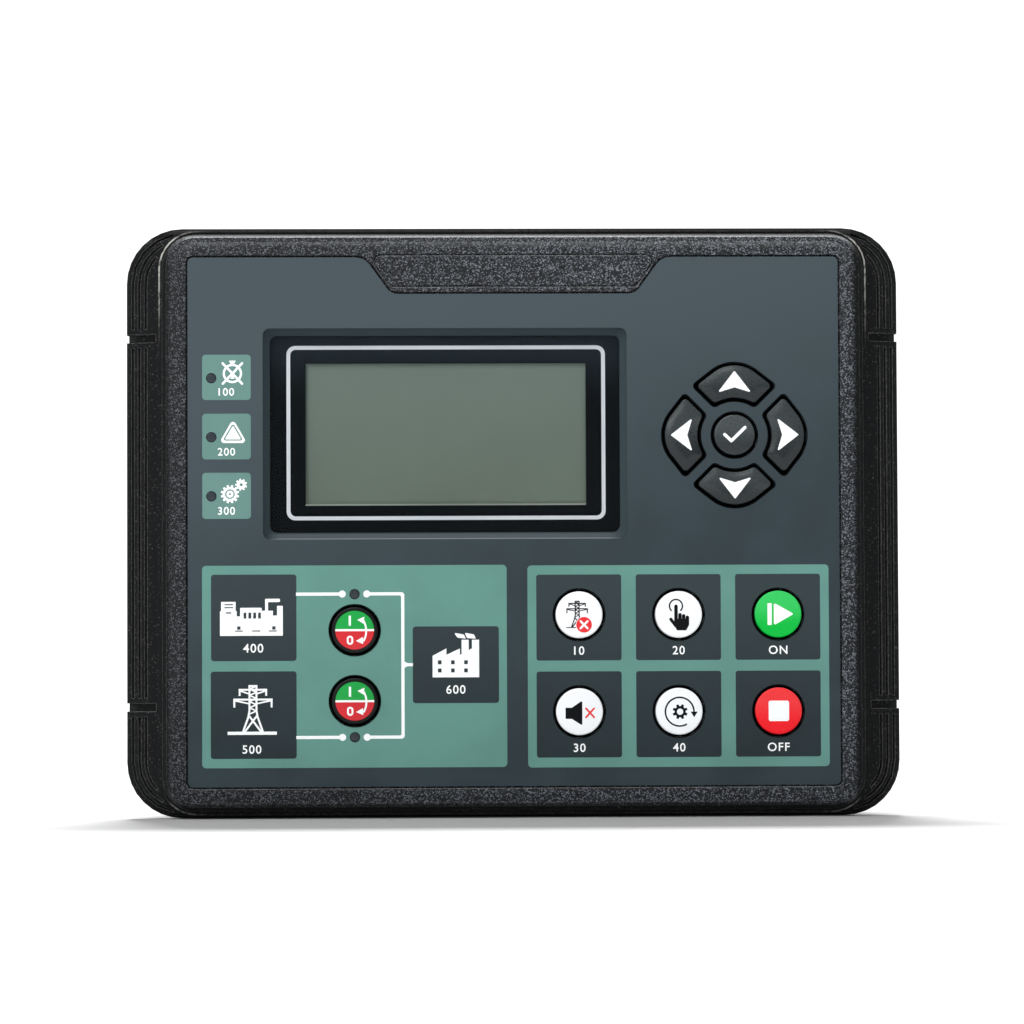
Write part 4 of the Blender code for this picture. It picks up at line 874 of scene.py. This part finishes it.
def front_loops(node):
    """The outlines of a flat node's front, as (x, z) loops in millimetres."""
    mesh = NODES[node].data
    points = np.array([v.co for v in mesh.vertices]) * 1000
    front = points[:, 1].min()
    keys = [tuple(np.round(p[[0, 2]], 3)) for p in points]
    ahead = {}
    for polygon in mesh.polygons:
        corners = list(polygon.vertices)
        if any(abs(points[i, 1] - front) > 1e-3 for i in corners):
            continue
        for a, b in zip(corners, corners[1:] + corners[:1]):
            pair = (keys[a], keys[b])
            if ahead.pop(pair[::-1], None) is None:
                ahead[pair] = True
    follow = {a: b for a, b in ahead}
    loops = []
    while follow:
        start, point = follow.popitem()
        loop = [start]
        while point != start:
            loop.append(point)
            point = follow.pop(point)
        loops.append(loop)
    return loops


def loop_size(loop):
    low, high = np.min(loop, axis=0), np.max(loop, axis=0)
    return high - low, (low + high) / 2


nav_hole = sector(0, 0, NAV_CORNER, NAV_INNER_CORNER)
NAV_HOLES = [on_nav(nav_hole, quarters) for quarters in range(4)]
KEY_HOLES = [circle(middle(name), hole) for name, (hole, _) in ROUND_KEYS.items()]
LAMP_HOLES = [circle(middle(name), LAMP_HOLE, 48) for name in LAMPS]
outline_loops = sorted(front_loops("face_plate"), key=lambda loop: -loop_size(loop)[0].prod())
PLATE_LOOP = outline_loops[0]
screen_size, screen_middle = loop_size(outline_loops[1])
screen_low, screen_high = screen_middle - screen_size / 2, screen_middle + screen_size / 2
SCREEN_LOOP = rounded(*screen_low, *screen_high, SCREEN_CORNER)
HOLES = alone(KEY_HOLES + NAV_HOLES + LAMP_HOLES + [SCREEN_LOOP])


def solid_plate(name, outline, holes, back, front, material):
    """A plate with its holes, as one closed solid."""
    flat, faces = fill([[outline]], holes)
    faces = facing_front(flat, faces)
    count = len(flat)
    points = [(x, front, z) for x, z in flat] + [(x, back, z) for x, z in flat]
    solid = faces.tolist() + (faces[:, ::-1] + count).tolist()
    edges = set()
    for a, b, c in faces.tolist():
        for pair in ((a, b), (b, c), (c, a)):
            if pair[::-1] in edges:
                edges.remove(pair[::-1])
            else:
                edges.add(pair)
    solid += [(b, a, a + count, b + count) for a, b in edges]
    return mesh_object(name, points, solid, material)


plate = solid_plate("face_plate_fine", PLATE_LOOP, HOLES, PLATE_BACK, PLATE_FRONT, PLATE)
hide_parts("face_plate")

# Terminal plugs, with a wire entry at the back and a clamp screw on the outer side of every way

PITCH, PLUG_ENDS, PLUG_DEPTH = 5.08, 1.8, 7.7
SOCKET_REACH = 1.1
GROOVE, GROOVE_DEPTH = 0.35, 0.5
ENTRY, ENTRY_CHAMFER, ENTRY_DEPTH = 3.4, 0.3, 5.0
JAW, JAW_DEPTH = 2.4, 1.2
SCREW_HOLE, SCREW_SETBACK, SCREW_SINK = 1.5, 3.6, 0.7
SLOT_ALONG, SLOT_ACROSS, SLOT_WIDTH, SLOT_DEPTH = 0.9, 0.7, 0.45, 0.5
PLUG_STEEL, PLUG_SHADOW = 1, 2


def square(middle_x, size):
    return rect(middle_x - size / 2, -size / 2, middle_x + size / 2, size / 2)


def plug_outline(half, tall, ways):
    """The plug seen from behind, with a groove between each way and the next."""
    gaps = [(i - ways / 2) * PITCH for i in range(1, ways)]
    bottom = [(-half, -tall)]
    for gap in gaps:
        bottom += [(gap - GROOVE, -tall), (gap, -tall + GROOVE_DEPTH), (gap + GROOVE, -tall)]
    bottom.append((half, -tall))
    return bottom + [(x, -z) for x, z in reversed(bottom)]


class PlugMesh:
    """The faces of a plug, drawn on planes across its depth or on its outer side."""

    def __init__(self, centre, outward):
        self.mesh = bmesh.new()
        self.centre, self.outward = centre, outward

    def corner(self, x, depth, reach):
        z = reach * self.outward + self.centre[1]
        return self.mesh.verts.new(((x + self.centre[0]) / 1000, depth / 1000, z / 1000))

    def at_depth(self, depth):
        return lambda x, z: self.corner(x, depth, z)

    def at_side(self, reach):
        return lambda x, depth: self.corner(x, depth, reach)

    def sheet(self, shape, cuts, plane, slot=0):
        flat, faces = fill([[shape]], [[cut] for cut in cuts])
        corners = [plane(x, z) for x, z in flat]
        for face in faces:
            self.mesh.faces.new([corners[i] for i in face]).material_index = slot

    def wall(self, loop, after, here, there, slot=0):
        near, far = [here(x, z) for x, z in loop], [there(x, z) for x, z in after]
        for i in range(len(loop)):
            j = (i + 1) % len(loop)
            self.mesh.faces.new((near[i], near[j], far[j], far[i])).material_index = slot

    def shell(self, outline, neck, mouths, tall, levels):
        """The plug's body, open at its entries and on its outer side, and the neck in its socket."""
        front, shoulder, back = levels
        self.sheet(outline, mouths, self.at_depth(back))
        self.sheet(outline, [neck], self.at_depth(shoulder))
        self.wall(neck, neck, self.at_depth(shoulder), self.at_depth(front))
        self.sheet(neck, [], self.at_depth(front))
        for a, b in zip(outline, outline[1:] + outline[:1]):
            if a[1] != tall or b[1] != tall:
                self.mesh.faces.new([self.corner(x, depth, z) for (x, z), depth in
                                     ((a, back), (b, back), (b, shoulder), (a, shoulder))])

    def entry(self, x, back):
        """A wire entry with a chamfered mouth and the metal clamp inside it."""
        mouth, entry, jaw = (square(x, size) for size in (ENTRY + 2 * ENTRY_CHAMFER, ENTRY, JAW))
        outer, lip, clamp, floor = (self.at_depth(back - depth) for depth in
                                    (0, ENTRY_CHAMFER, JAW_DEPTH, ENTRY_DEPTH))
        self.wall(mouth, entry, outer, lip)
        self.wall(entry, entry, lip, clamp)
        self.sheet(entry, [jaw], clamp, PLUG_STEEL)
        self.wall(jaw, jaw, clamp, floor, PLUG_STEEL)
        self.sheet(jaw, [], floor, PLUG_SHADOW)

    def screw(self, panel, x, depth, tall):
        """A way's stretch of the outer side, with a slotted screw sunk in its hole."""
        hole = circle((x, depth), SCREW_HOLE, 32)
        slot = bar((x - SLOT_ALONG, depth - SLOT_ACROSS), (x + SLOT_ALONG, depth + SLOT_ACROSS),
                   SLOT_WIDTH)
        side, head, floor = (self.at_side(tall - sink) for sink in
                             (0, SCREW_SINK, SCREW_SINK + SLOT_DEPTH))
        self.sheet(panel, [hole], side)
        self.wall(hole, hole, side, head)
        self.sheet(hole, [slot], head, PLUG_STEEL)
        self.wall(slot, slot, head, floor, PLUG_STEEL)
        self.sheet(slot, [], floor, PLUG_SHADOW)

    def finished(self, name):
        bmesh.ops.remove_doubles(self.mesh, verts=self.mesh.verts, dist=1e-6)
        bmesh.ops.recalc_face_normals(self.mesh, faces=self.mesh.faces)
        made = bpy.data.meshes.new(name)
        self.mesh.to_mesh(made)
        self.mesh.free()
        for material in (PLUG, SCREW_STEEL, SKIRT):
            made.materials.append(material)
        return made


def terminal_plug(name, outward):
    low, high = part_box(name)
    half, tall = 500 * (high.x - low.x), 500 * (high.z - low.z)
    front, back = 1000 * low.y, 1000 * high.y
    shoulder = back - PLUG_DEPTH
    ways = round((2 * half - PLUG_ENDS) / PITCH)
    places = [(i - (ways - 1) / 2) * PITCH for i in range(ways)]
    mouths = [square(x, ENTRY + 2 * ENTRY_CHAMFER) for x in places]
    neck_half, neck_tall = half - SOCKET_REACH, tall - 2 * SOCKET_REACH
    neck = rect(-neck_half, -neck_tall, neck_half, neck_tall)
    drawn = PlugMesh(middle(name), outward)
    drawn.shell(plug_outline(half, tall, ways), neck, mouths, tall, (front, shoulder, back))
    for x in places:
        left = -half if x == places[0] else x - PITCH / 2 + GROOVE
        right = half if x == places[-1] else x + PITCH / 2 - GROOVE
        drawn.entry(x, back)
        drawn.screw(rect(left, shoulder, right, back), x, back - SCREW_SETBACK, tall)
    plug = add_object(name + "_fine", drawn.finished(name + "_fine"))
    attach(plug, "controller_body")
    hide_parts(name)


for number, outward in enumerate((1, 1, -1, -1), 1):
    terminal_plug(f"terminal_plug_{number}", outward)

# Print on the face plate

MIMIC = (-83.9, -11.8, -2.1, -66.1)
KEYPAD = (3.5, -12.0, 84.7, -66.3)
GENSET_TILE = (-81.5, -14.2, -58.6, -37.4)
MAINS_TILE = (-81.6, -40.2, -58.6, -63.6)
LOAD_TILE = (-27.4, -28.3, -4.25, -48.9)
INDICATORS = ((-83.8, 45.0, -70.75, 32.8), (-83.8, 29.1, -70.75, 16.8), (-83.8, 13.2, -70.75, 0.8))
KEY_COLUMNS, KEY_ROWS = (17.3, 44.1, 70.9), (-26.05, -52.1)
KEY_TILE_WIDE, KEY_TILE_TALL = 11.45, 11.55
PANEL_CORNER, INDICATOR_CORNER, TILE_CORNER, KEY_TILE_CORNER = 1.1, 0.95, 0.8, 0.7
PRINT_LAP, RING_OUT, RING_LAP, NAV_RING_OUT = 0.06, 0.15, 0.05, 0.2
HOLE_SHAPES = [[circle(middle(name), hole - PRINT_LAP)] for name, (hole, _) in ROUND_KEYS.items()]
HOLE_SHAPES += alone(LAMP_HOLES)

for name, panel in (("print_mimic_panel", MIMIC), ("print_keypad_panel", KEYPAD)):
    print_sheet(name, [[rounded(*panel, PANEL_CORNER)]], 1, TEAL, HOLE_SHAPES)
print_sheet("print_indicator_tiles", [[rounded(*tile, INDICATOR_CORNER)] for tile in INDICATORS],
            1, TEAL_TILE, HOLE_SHAPES)
tiles = [rounded(*tile, TILE_CORNER) for tile in (GENSET_TILE, MAINS_TILE, LOAD_TILE)]
tiles += [rounded(x - KEY_TILE_WIDE, z + KEY_TILE_TALL, x + KEY_TILE_WIDE, z - KEY_TILE_TALL,
                  KEY_TILE_CORNER) for z in KEY_ROWS for x in KEY_COLUMNS]
print_sheet("print_dark_tiles", alone(tiles), 2, TILE, HOLE_SHAPES)

# Black rings round the key holes: painted shade of the gaps round the keys.
rings = [[circle(middle(name), hole + RING_OUT), circle(middle(name), hole - RING_LAP)]
         for name, (hole, _) in ROUND_KEYS.items()]
around = sector(-NAV_RING_OUT, -NAV_RING_OUT, NAV_CORNER + 0.03, NAV_INNER_CORNER + 0.03)
rings += [[on_nav(around, quarters), hole] for quarters, hole in enumerate(NAV_HOLES)]
print_sheet("painted_shade_hole_rings", rings, 4, SKIRT)

# Mimic diagram: the lines from both sources through the breakers to the load

LINE, LINE_END, BRANCH = 0.85, 0.95, 0.84
SOURCE_X, CONTACT_X, BREAKER_X, BUS_X, BRANCH_X = -58.7, -46.3, -39.7, -30.06, -27.3
UPPER_Z, BRANCH_Z, LOWER_Z = -19.5, -38.55, -57.95
feeders = [bar((SOURCE_X, z), (CONTACT_X, z), LINE) for z in (UPPER_Z, LOWER_Z)]
feeders += [circle((x, z), LINE_END, 40) for x in (CONTACT_X, BREAKER_X) for z in (UPPER_Z, LOWER_Z)]
print_sheet("print_mimic_feeders", alone(feeders), 3, WHITE)
bus_outer = rounded(-45, UPPER_Z + LINE / 2, BUS_X + LINE / 2, LOWER_Z - LINE / 2, 0.8)
bus_inner = rounded(-44, UPPER_Z - LINE / 2, BUS_X - LINE / 2, LOWER_Z + LINE / 2, 0.4)
upper = [(BUS_X, BRANCH_Z + 1.3), (BUS_X + 0.55, BRANCH_Z + 0.75),
         (BUS_X + 1.3, BRANCH_Z + BRANCH / 2), (BRANCH_X, BRANCH_Z + BRANCH / 2)]
junction = [(x, 2 * BRANCH_Z - z) for x, z in upper] + upper[::-1]
print_sheet("print_mimic_bus", [[bus_outer, bus_inner], [junction]], 2, WHITE,
            [[rect(-50, UPPER_Z + 3, BREAKER_X, LOWER_Z - 3)]])

# Generator set, mains and load symbols

GENSET = [rect(-78.8, -21.5, -74.9, -24.1), rect(-79.1, -24.0, -74.6, -30.63),
          rounded(-73.7, -23.1, -67.9, -30.63, 0.25), rect(-74.7, -25.4, -73.6, -30.63),
          rect(-67.95, -23.9, -64.9, -30.63), rect(-67.0, -20.9, -66.2, -24.0),
          rounded(-67.0, -20.7, -63.0, -21.6, 0.3), rect(-65.0, -25.2, -63.7, -30.63),
          rounded(-63.8, -22.6, -62.25, -30.63, 0.2)]
GENSET_CUTS = [rect(x - 0.375, -24.4, x + 0.375, -26.0) for x in (-72.4, -71.1, -69.8, -68.5)]
GENSET_CUTS += [rect(-77.9, -22.1, -75.6, -22.4), rect(-77.9, -22.9, -75.6, -23.2),
                rect(-77.5, -24.3, -76.1, -24.65), rect(-74.5, -28.1, -73.6, -29.0),
                rect(-75.1, -29.2, -73.0, -29.5), rect(-65.1, -28.1, -64.2, -29.0),
                rect(-66.0, -29.2, -63.9, -29.5), rect(-70.5, -29.2, -68.3, -29.5)]
print_sheet("print_generator_symbol", alone(GENSET), 3, WHITE, alone(GENSET_CUTS))


PYLON_CELLS = 9


def pylon(x, top, base, halves, foot, stroke):
    """A lattice mast: a narrow column that flares to its feet, and two arms with hanging ends."""
    tall = top - base
    column, flare = 0.075 * tall, top - 0.53 * tall
    shapes = [bar((x - column, top), (x + column, top), stroke)]
    for side in (-1, 1):
        outer = x + side * column
        knee = (x + side * (column + 0.18 * (foot - column)), flare - 0.14 * tall)
        shapes += [bar((outer, top + stroke / 2), (outer, flare), stroke),
                   capsule((outer, flare), knee, stroke), capsule(knee, (x + side * foot, base), stroke),
                   capsule((x - side * column, knee[1] + 0.02 * tall),
                           (x + side * foot * 0.86, base), stroke)]
        for half, fall, drop in ((halves[0], 0.08, 0.13), (halves[1], 0.29, 0.17)):
            end, level = x + side * half, top - fall * tall
            shapes += [bar((x, level), (end + side * stroke / 2, level), stroke),
                       bar((end, level), (end, level - drop * tall), stroke),
                       bar((end, level - 0.02 * tall), (outer, level - 0.09 * tall), stroke * 0.8)]
    cell = 0.6 * tall / PYLON_CELLS
    for i in range(PYLON_CELLS):
        high, low = top - i * cell, top - (i + 1) * cell
        side = 1 if i % 2 else -1
        shapes.append(bar((x - side * column, high), (x + side * column, low), stroke * 0.75))
    return alone(shapes)


mast = pylon(-70.3, -44.1, -56.6, (3.55, 5.0), 2.75, 0.52)
mast.append([bar((-77.1, -56.75), (-63.9, -56.75), 0.85)])
print_sheet("print_mains_symbol", mast, 3, WHITE)

FACTORY = [(-22.09, -41.99), (-9.57, -41.99), (-9.57, -31.9), (-11.49, -31.9), (-11.49, -34.22),
           (-12.37, -34.7), (-12.37, -31.9), (-14.28, -31.9), (-14.28, -35.76), (-14.72, -35.98),
           (-14.72, -34.25), (-18.35, -35.93), (-18.35, -34.22), (-22.09, -36.19)]
PUFFS = [filleted([(-16.31, -30.05, 0.2), (-15.35, -31.35, 0.4),
                   (-13.09, -31.64, 0.1), (-13.65, -30.48, 0.5)]),
         filleted([(-13.44, -30.02, 0.2), (-12.8, -31.47, 0.4),
                   (-10.42, -31.64, 0.1), (-10.93, -30.48, 0.5)])]
WINDOWS = [rect(x, z, x + 0.97, z - 1.05) for x in (-20.66, -17.13, -13.6) for z in (-37.43, -39.62)]
print_sheet("print_load_symbol", alone([FACTORY, *PUFFS]), 3, WHITE, alone(WINDOWS))

# Indicator symbols: a struck-out clock, a double triangle and a pair of gears

CLOCK = (-75.66, 39.93)
clock = [[circle(CLOCK, 2.6, 64), circle(CLOCK, 2.0, 64)],
         [filleted([(-76.6, 43.4, 0.1), (-76.05, 42.4, 0.1), (-75.27, 42.4, 0.1), (-74.72, 43.4, 0.1)])]]
clock += cross(CLOCK, 2.6, 2.75, 0.62)
clock.append([filleted([(-76.3, 38.5, 0.1), (-75.02, 38.5, 0.1), (-75.66, 39.5, 0.1)])])
print_sheet("print_indicator_symbol_1", clock, 2, WHITE)

outer = filleted([(-79.3, 21.2, 0.8), (-71.75, 21.2, 0.8), (-75.53, 27.7, 0.8)], 8)
gap = filleted([(-78.3, 21.85, 0.45), (-72.75, 21.85, 0.45), (-75.53, 26.6, 0.45)], 8)
core = filleted([(-77.75, 22.15, 0.25), (-73.3, 22.15, 0.25), (-75.53, 25.95, 0.25)], 8)
print_sheet("print_indicator_symbol_2", [[outer, gap], [core]], 2, WHITE)

BIG, SMALL = (-76.37, 7.44), (-73.36, 9.98)
gears = [[gear(BIG, 2.5, 1.95, 12), circle(BIG, 1.3, 48)],
         [circle(BIG, 0.95, 48), circle(BIG, 0.28, 24)],
         [gear(SMALL, 1.62, 1.22, 9), circle(SMALL, 0.42, 24)]]
print_sheet("print_indicator_symbol_3", gears, 2, WHITE)

# Captions: plain numbers where the real words stand

captions = [("100", (-77.3, 34.98), 2.1), ("200", (-77.3, 18.85), 2.1), ("300", (-77.3, 2.95), 2.1),
            ("400", (-70.2, -33.97), 2.4), ("500", (-70.6, -61.1), 2.3), ("600", (-15.85, -45.25), 2.35)]
for z, row in ((-34.95, (("10", "key_load_test"), ("20", "key_manual"), ("ON", "key_start"))),
               (-61.05, (("30", "key_lamp_test"), ("40", "key_auto"), ("OFF", "key_stop")))):
    captions += [(words, (middle(key)[0], z), 2.3) for words, key in row]
caption_sheet("print_captions", captions, 3, WHITE)

# Symbols on the keys

for quarters, name in enumerate(ARROWS):
    arrow = filleted([(17.3, 0, 0.22), (11.4, 4.55, 0.22), (12.8, 0, 0.3), (11.4, -4.55, 0.22)])
    print_sheet("symbol_" + body_of_key(name), [[on_nav(arrow, quarters)]], 1, WHITE,
                body=body_of_key(name), tree=TREES[name])


def on_key(name, part, shapes, layer, material, cuts=()):
    at = middle(name)
    shapes, cuts = ([moved(shape, at) for shape in group] for group in (shapes, cuts))
    return print_sheet(f"{part}_{body_of_key(name)}", shapes, layer, material, cuts,
                       body_of_key(name), TREES[name])


on_key("key_centre", "symbol", [[capsule((-2.7, 0.1), (-0.9, -1.6), 0.85)],
                                [capsule((-0.9, -1.6), (2.8, 2.0), 0.85)]], 1, WHITE)

DISC_RADIUS, DIVIDER = 5.2, 0.56
for name in ("key_genset_breaker", "key_mains_breaker"):
    disc = [circle((0, 0), DISC_RADIUS)]
    on_key(name, "disc_green", [disc], 1, DISC_GREEN, [[rect(-7, DIVIDER / 2, 7, -7)]])
    on_key(name, "disc_red", [disc], 1, DISC_RED, [[rect(-7, 7, 7, -DIVIDER / 2)]])
    on_key(name, "disc_divider", [disc], 1, WHITE,
           [[rect(-7, 7, 7, DIVIDER / 2)], [rect(-7, -DIVIDER / 2, 7, -7)]])
    marks = [[rounded(-1.6, 1.2, -1.0, 3.9, 0.1)],
             [rounded(-2.1, -1.5, -0.4, -3.9, 0.8), rounded(-1.6, -2.0, -0.9, -3.4, 0.33)],
             [band((-2.35, -0.2), 5.45, 0.5, -31, 30)],
             [filleted([(0.7, 2.75, 0.05), (2.4, 1.7, 0.05), (2.6, 3.6, 0.05)])],
             [filleted([(0.3, -2.9, 0.05), (2.3, -3.75, 0.05), (2.2, -1.85, 0.05)])]]
    on_key(name, "marks", marks, 2, WHITE)

BADGE, BADGE_RADIUS, BADGE_GAP = (1.3, -2.7), 2.1, 0.15
mast = pylon(-0.55, 3.6, -3.3, (2.2, 2.75), 1.5, 0.3)
mast.append([bar((-3.5, -3.42), (2.0, -3.42), 0.24)])
on_key("key_load_test", "symbol", mast, 1, BLACK, [[circle(BADGE, BADGE_RADIUS + BADGE_GAP)]])
on_key("key_load_test", "badge", [[circle(BADGE, BADGE_RADIUS)]], 1, RED_PRINT)
on_key("key_load_test", "badge_cross", cross(BADGE, 0.95, 0.95, 0.55), 2, WHITE)

hand = [[band((-0.75, 2.25), 1.75, 0.4, -48, 228)], [capsule((-0.75, 2.15), (-0.75, -1.5), 0.95)],
        [capsule((0.3, -0.1), (0.3, -2), 0.95)], [capsule((1.3, -0.4), (1.3, -2), 0.95)],
        [capsule((2.3, -0.8), (2.3, -2.2), 0.95)], [capsule((-2.15, -1.3), (-0.9, -3.0), 0.85)],
        [filleted([(-1.25, -1.2, 0.1), (-1.25, -3.0, 0.5), (-0.5, -4.3, 0.3), (2.0, -4.3, 0.3),
                   (2.78, -2.8, 0.4), (2.78, -1.2, 0.1)])]]
on_key("key_manual", "symbol", hand, 1, BLACK)

triangle = filleted([(-1.2, 3.05, 0.35), (-1.2, -3.05, 0.35), (4.2, 0, 0.25)])
on_key("key_start", "symbol", [[rounded(-2.9, 2.9, -1.75, -2.95, 0.15)], [triangle]], 1, WHITE)
on_key("key_stop", "symbol", [[rounded(-2.75, 2.75, 2.75, -2.75, 0.6)]], 1, WHITE)

speaker = [[rounded(-3.8, 1.1, -2.0, -1.9, 0.2)],
           [filleted([(-2.1, 1.1, 0.05), (-2.1, -1.9, 0.05), (0.7, -3.7, 0.25), (0.7, 3.0, 0.25)])]]
on_key("key_lamp_test", "symbol", speaker, 1, BLACK)
on_key("key_lamp_test", "cross", cross((2.8, -0.3), 1.1, 1.2, 0.5), 1, RED_PRINT)

COG = (0.2, -0.1)
auto = [[gear(COG, 2.05, 1.5, 8), circle(COG, 0.85, 40)],
        [band((0.1, -0.1), 3.85, 0.44, -5, 300, 60)],
        [filleted([(3.05, -0.1, 0.05), (4.0, -1.6, 0.05), (4.95, -0.1, 0.05)])]]
on_key("key_auto", "symbol", auto, 1, BLACK)

# The border printed behind the lens, the silver line on it, a painted highlight along the display's
# lower edge and a painted shadow along its top and left

VIEW = (-56.4, 43.2, 19.75, 4.45)
SILVER_OUTER, SILVER_INNER = (-61.3, 47.7, 24.9, 0.5, 2.4), (-60.25, 46.65, 23.85, 1.55, 1.5)
LENS_INSET = 0.2
lens_low, lens_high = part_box("lcd_window")
lens_back = height_of("lcd_window")[0]
lens_edge = rect(lens_low.x * 1000 + LENS_INSET, lens_low.z * 1000 + LENS_INSET,
                 lens_high.x * 1000 - LENS_INSET, lens_high.z * 1000 - LENS_INSET)
edge_shadow = [[rect(-56.5, 42.85, 19.8, 43.3)], [rect(-56.5, 4.4, -56.1, 43.3)]]
flat_sheet("lens_border_print", [[lens_edge, rounded(*VIEW, 0.4)]], lens_back - 0.06, BORDER)
# A pale strip along the display's lower edge: painted highlight.
flat_sheet("lcd_edge_painted_highlight", [[rect(-56.2, 4.45, 19.6, 4.85)]], lens_back - 0.08, LCD_EDGE_HIGHLIGHT)
# A black sheet along the display's top and left: painted shadow.
flat_sheet("lcd_edge_shadow", edge_shadow, lens_back - 0.1, BLACK)
flat_sheet("lens_silver_line", [[rounded(*SILVER_OUTER, 12), rounded(*SILVER_INNER, 12)]],
           lens_back - 0.04, SILVER)

# Studio: a pale sweep, a soft room and four large lamps

SWEEP_FRONT, SWEEP_TURN, SWEEP_RADIUS, SWEEP_TOP, SWEEP_HALF = -4.0, 2.4, 0.8, 4.0, 5
ROOM_LIGHT = 0.4


def sweep_finish():
    """White paper, lit by its own lamps far behind the object."""
    made = Surface("studio_white")
    y = made.parts(made.place)[1]
    made.feed(made.shader, {
        "Base Color": made.tint(made.ramp(y, -0.2, -0.6), PAPER_FAR, PAPER_NEAR),
        "Roughness": 0.8,
        "Specular IOR Level": 0.0,
        "Emission Color": (1, 1, 1, 1),
        "Emission Strength": made.ramp(y, 0.3, 2.2, 0.02, 0.8),
    })
    return made.material


floor_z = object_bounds()[0][2] - 0.0001
profile = [(SWEEP_FRONT, 0.0), (-1.0, 0.0), (SWEEP_TURN, 0.0)]
profile += [(SWEEP_TURN + SWEEP_RADIUS * math.sin(a), SWEEP_RADIUS - SWEEP_RADIUS * math.cos(a))
            for a in np.linspace(0.08, TURN / 4, 18)]
profile.append((SWEEP_TURN + SWEEP_RADIUS, SWEEP_TOP))
sweep_mesh = bpy.data.meshes.new("studio_sweep")
sweep_mesh.from_pydata([(x, y, z + floor_z) for y, z in profile for x in (-SWEEP_HALF, SWEEP_HALF)], [],
                       [(2 * i, 2 * i + 1, 2 * i + 3, 2 * i + 2) for i in range(len(profile) - 1)])
sweep_mesh.materials.append(sweep_finish())
sweep_mesh.polygons.foreach_set("use_smooth", [True] * len(sweep_mesh.polygons))
sweep = add_object("studio_sweep", sweep_mesh)


def soft_lamp(name, place, target, size, watts):
    lamp = bpy.data.lights.new(name, "AREA")
    lamp.shape = "RECTANGLE"
    lamp.size, lamp.size_y = size
    lamp.energy = watts
    made = add_object(name, lamp)
    made.location = place
    made.rotation_euler = (Vector(target) - Vector(place)).to_track_quat("-Z", "Y").to_euler()


soft_lamp("key_light", (-0.25, -0.7, 1.0), (0, 0, 0.02), (0.8, 0.5), 7.5)
soft_lamp("side_light", (-1.3, -1.5, 0.8), (0, 0, 0), (0.7, 0.7), 12)
soft_lamp("top_light", (-0.04, 0.9, 2.0), (0, -0.1, -0.05), (0.7, 0.35), 100)
soft_lamp("back_light", (0.3, 1.2, 1.6), (0, 0.1, 0), (1.6, 1.2), 12)

scene = bpy.context.scene
scene.world = bpy.data.worlds.new("studio_room")
scene.world.use_nodes = True
room = scene.world.node_tree.nodes["Background"]
room.inputs["Color"].default_value = (1, 1, 1, 1)
room.inputs["Strength"].default_value = ROOM_LIGHT
scene.view_settings.view_transform = "Standard"
scene.view_settings.look = "None"
scene.view_settings.exposure = 0
scene.view_settings.gamma = 1

# Camera, at the photo's place, as a fit of the outlines to the photo gives it

EYE_PLACE = (-0.02921, -1.1128, -0.0375)
EYE_LENS, EYE_SENSOR = 143.82, 36
EYE_PAN, EYE_TILT, EYE_ROLL = (math.radians(angle) for angle in (-1.4913, 2.0767, 0.2409))

eye = bpy.data.cameras.new("camera")
eye.sensor_width = EYE_SENSOR
eye.lens = EYE_LENS
camera = add_object("camera", eye)
aim = (Matrix.Rotation(EYE_PAN, 4, "Z") @ Matrix.Rotation(EYE_TILT, 4, "X")
       @ Matrix.Rotation(EYE_ROLL, 4, "Y") @ Matrix.Rotation(TURN / 4, 4, "X"))
camera.matrix_world = Matrix.Translation(EYE_PLACE) @ aim
scene.camera = camera
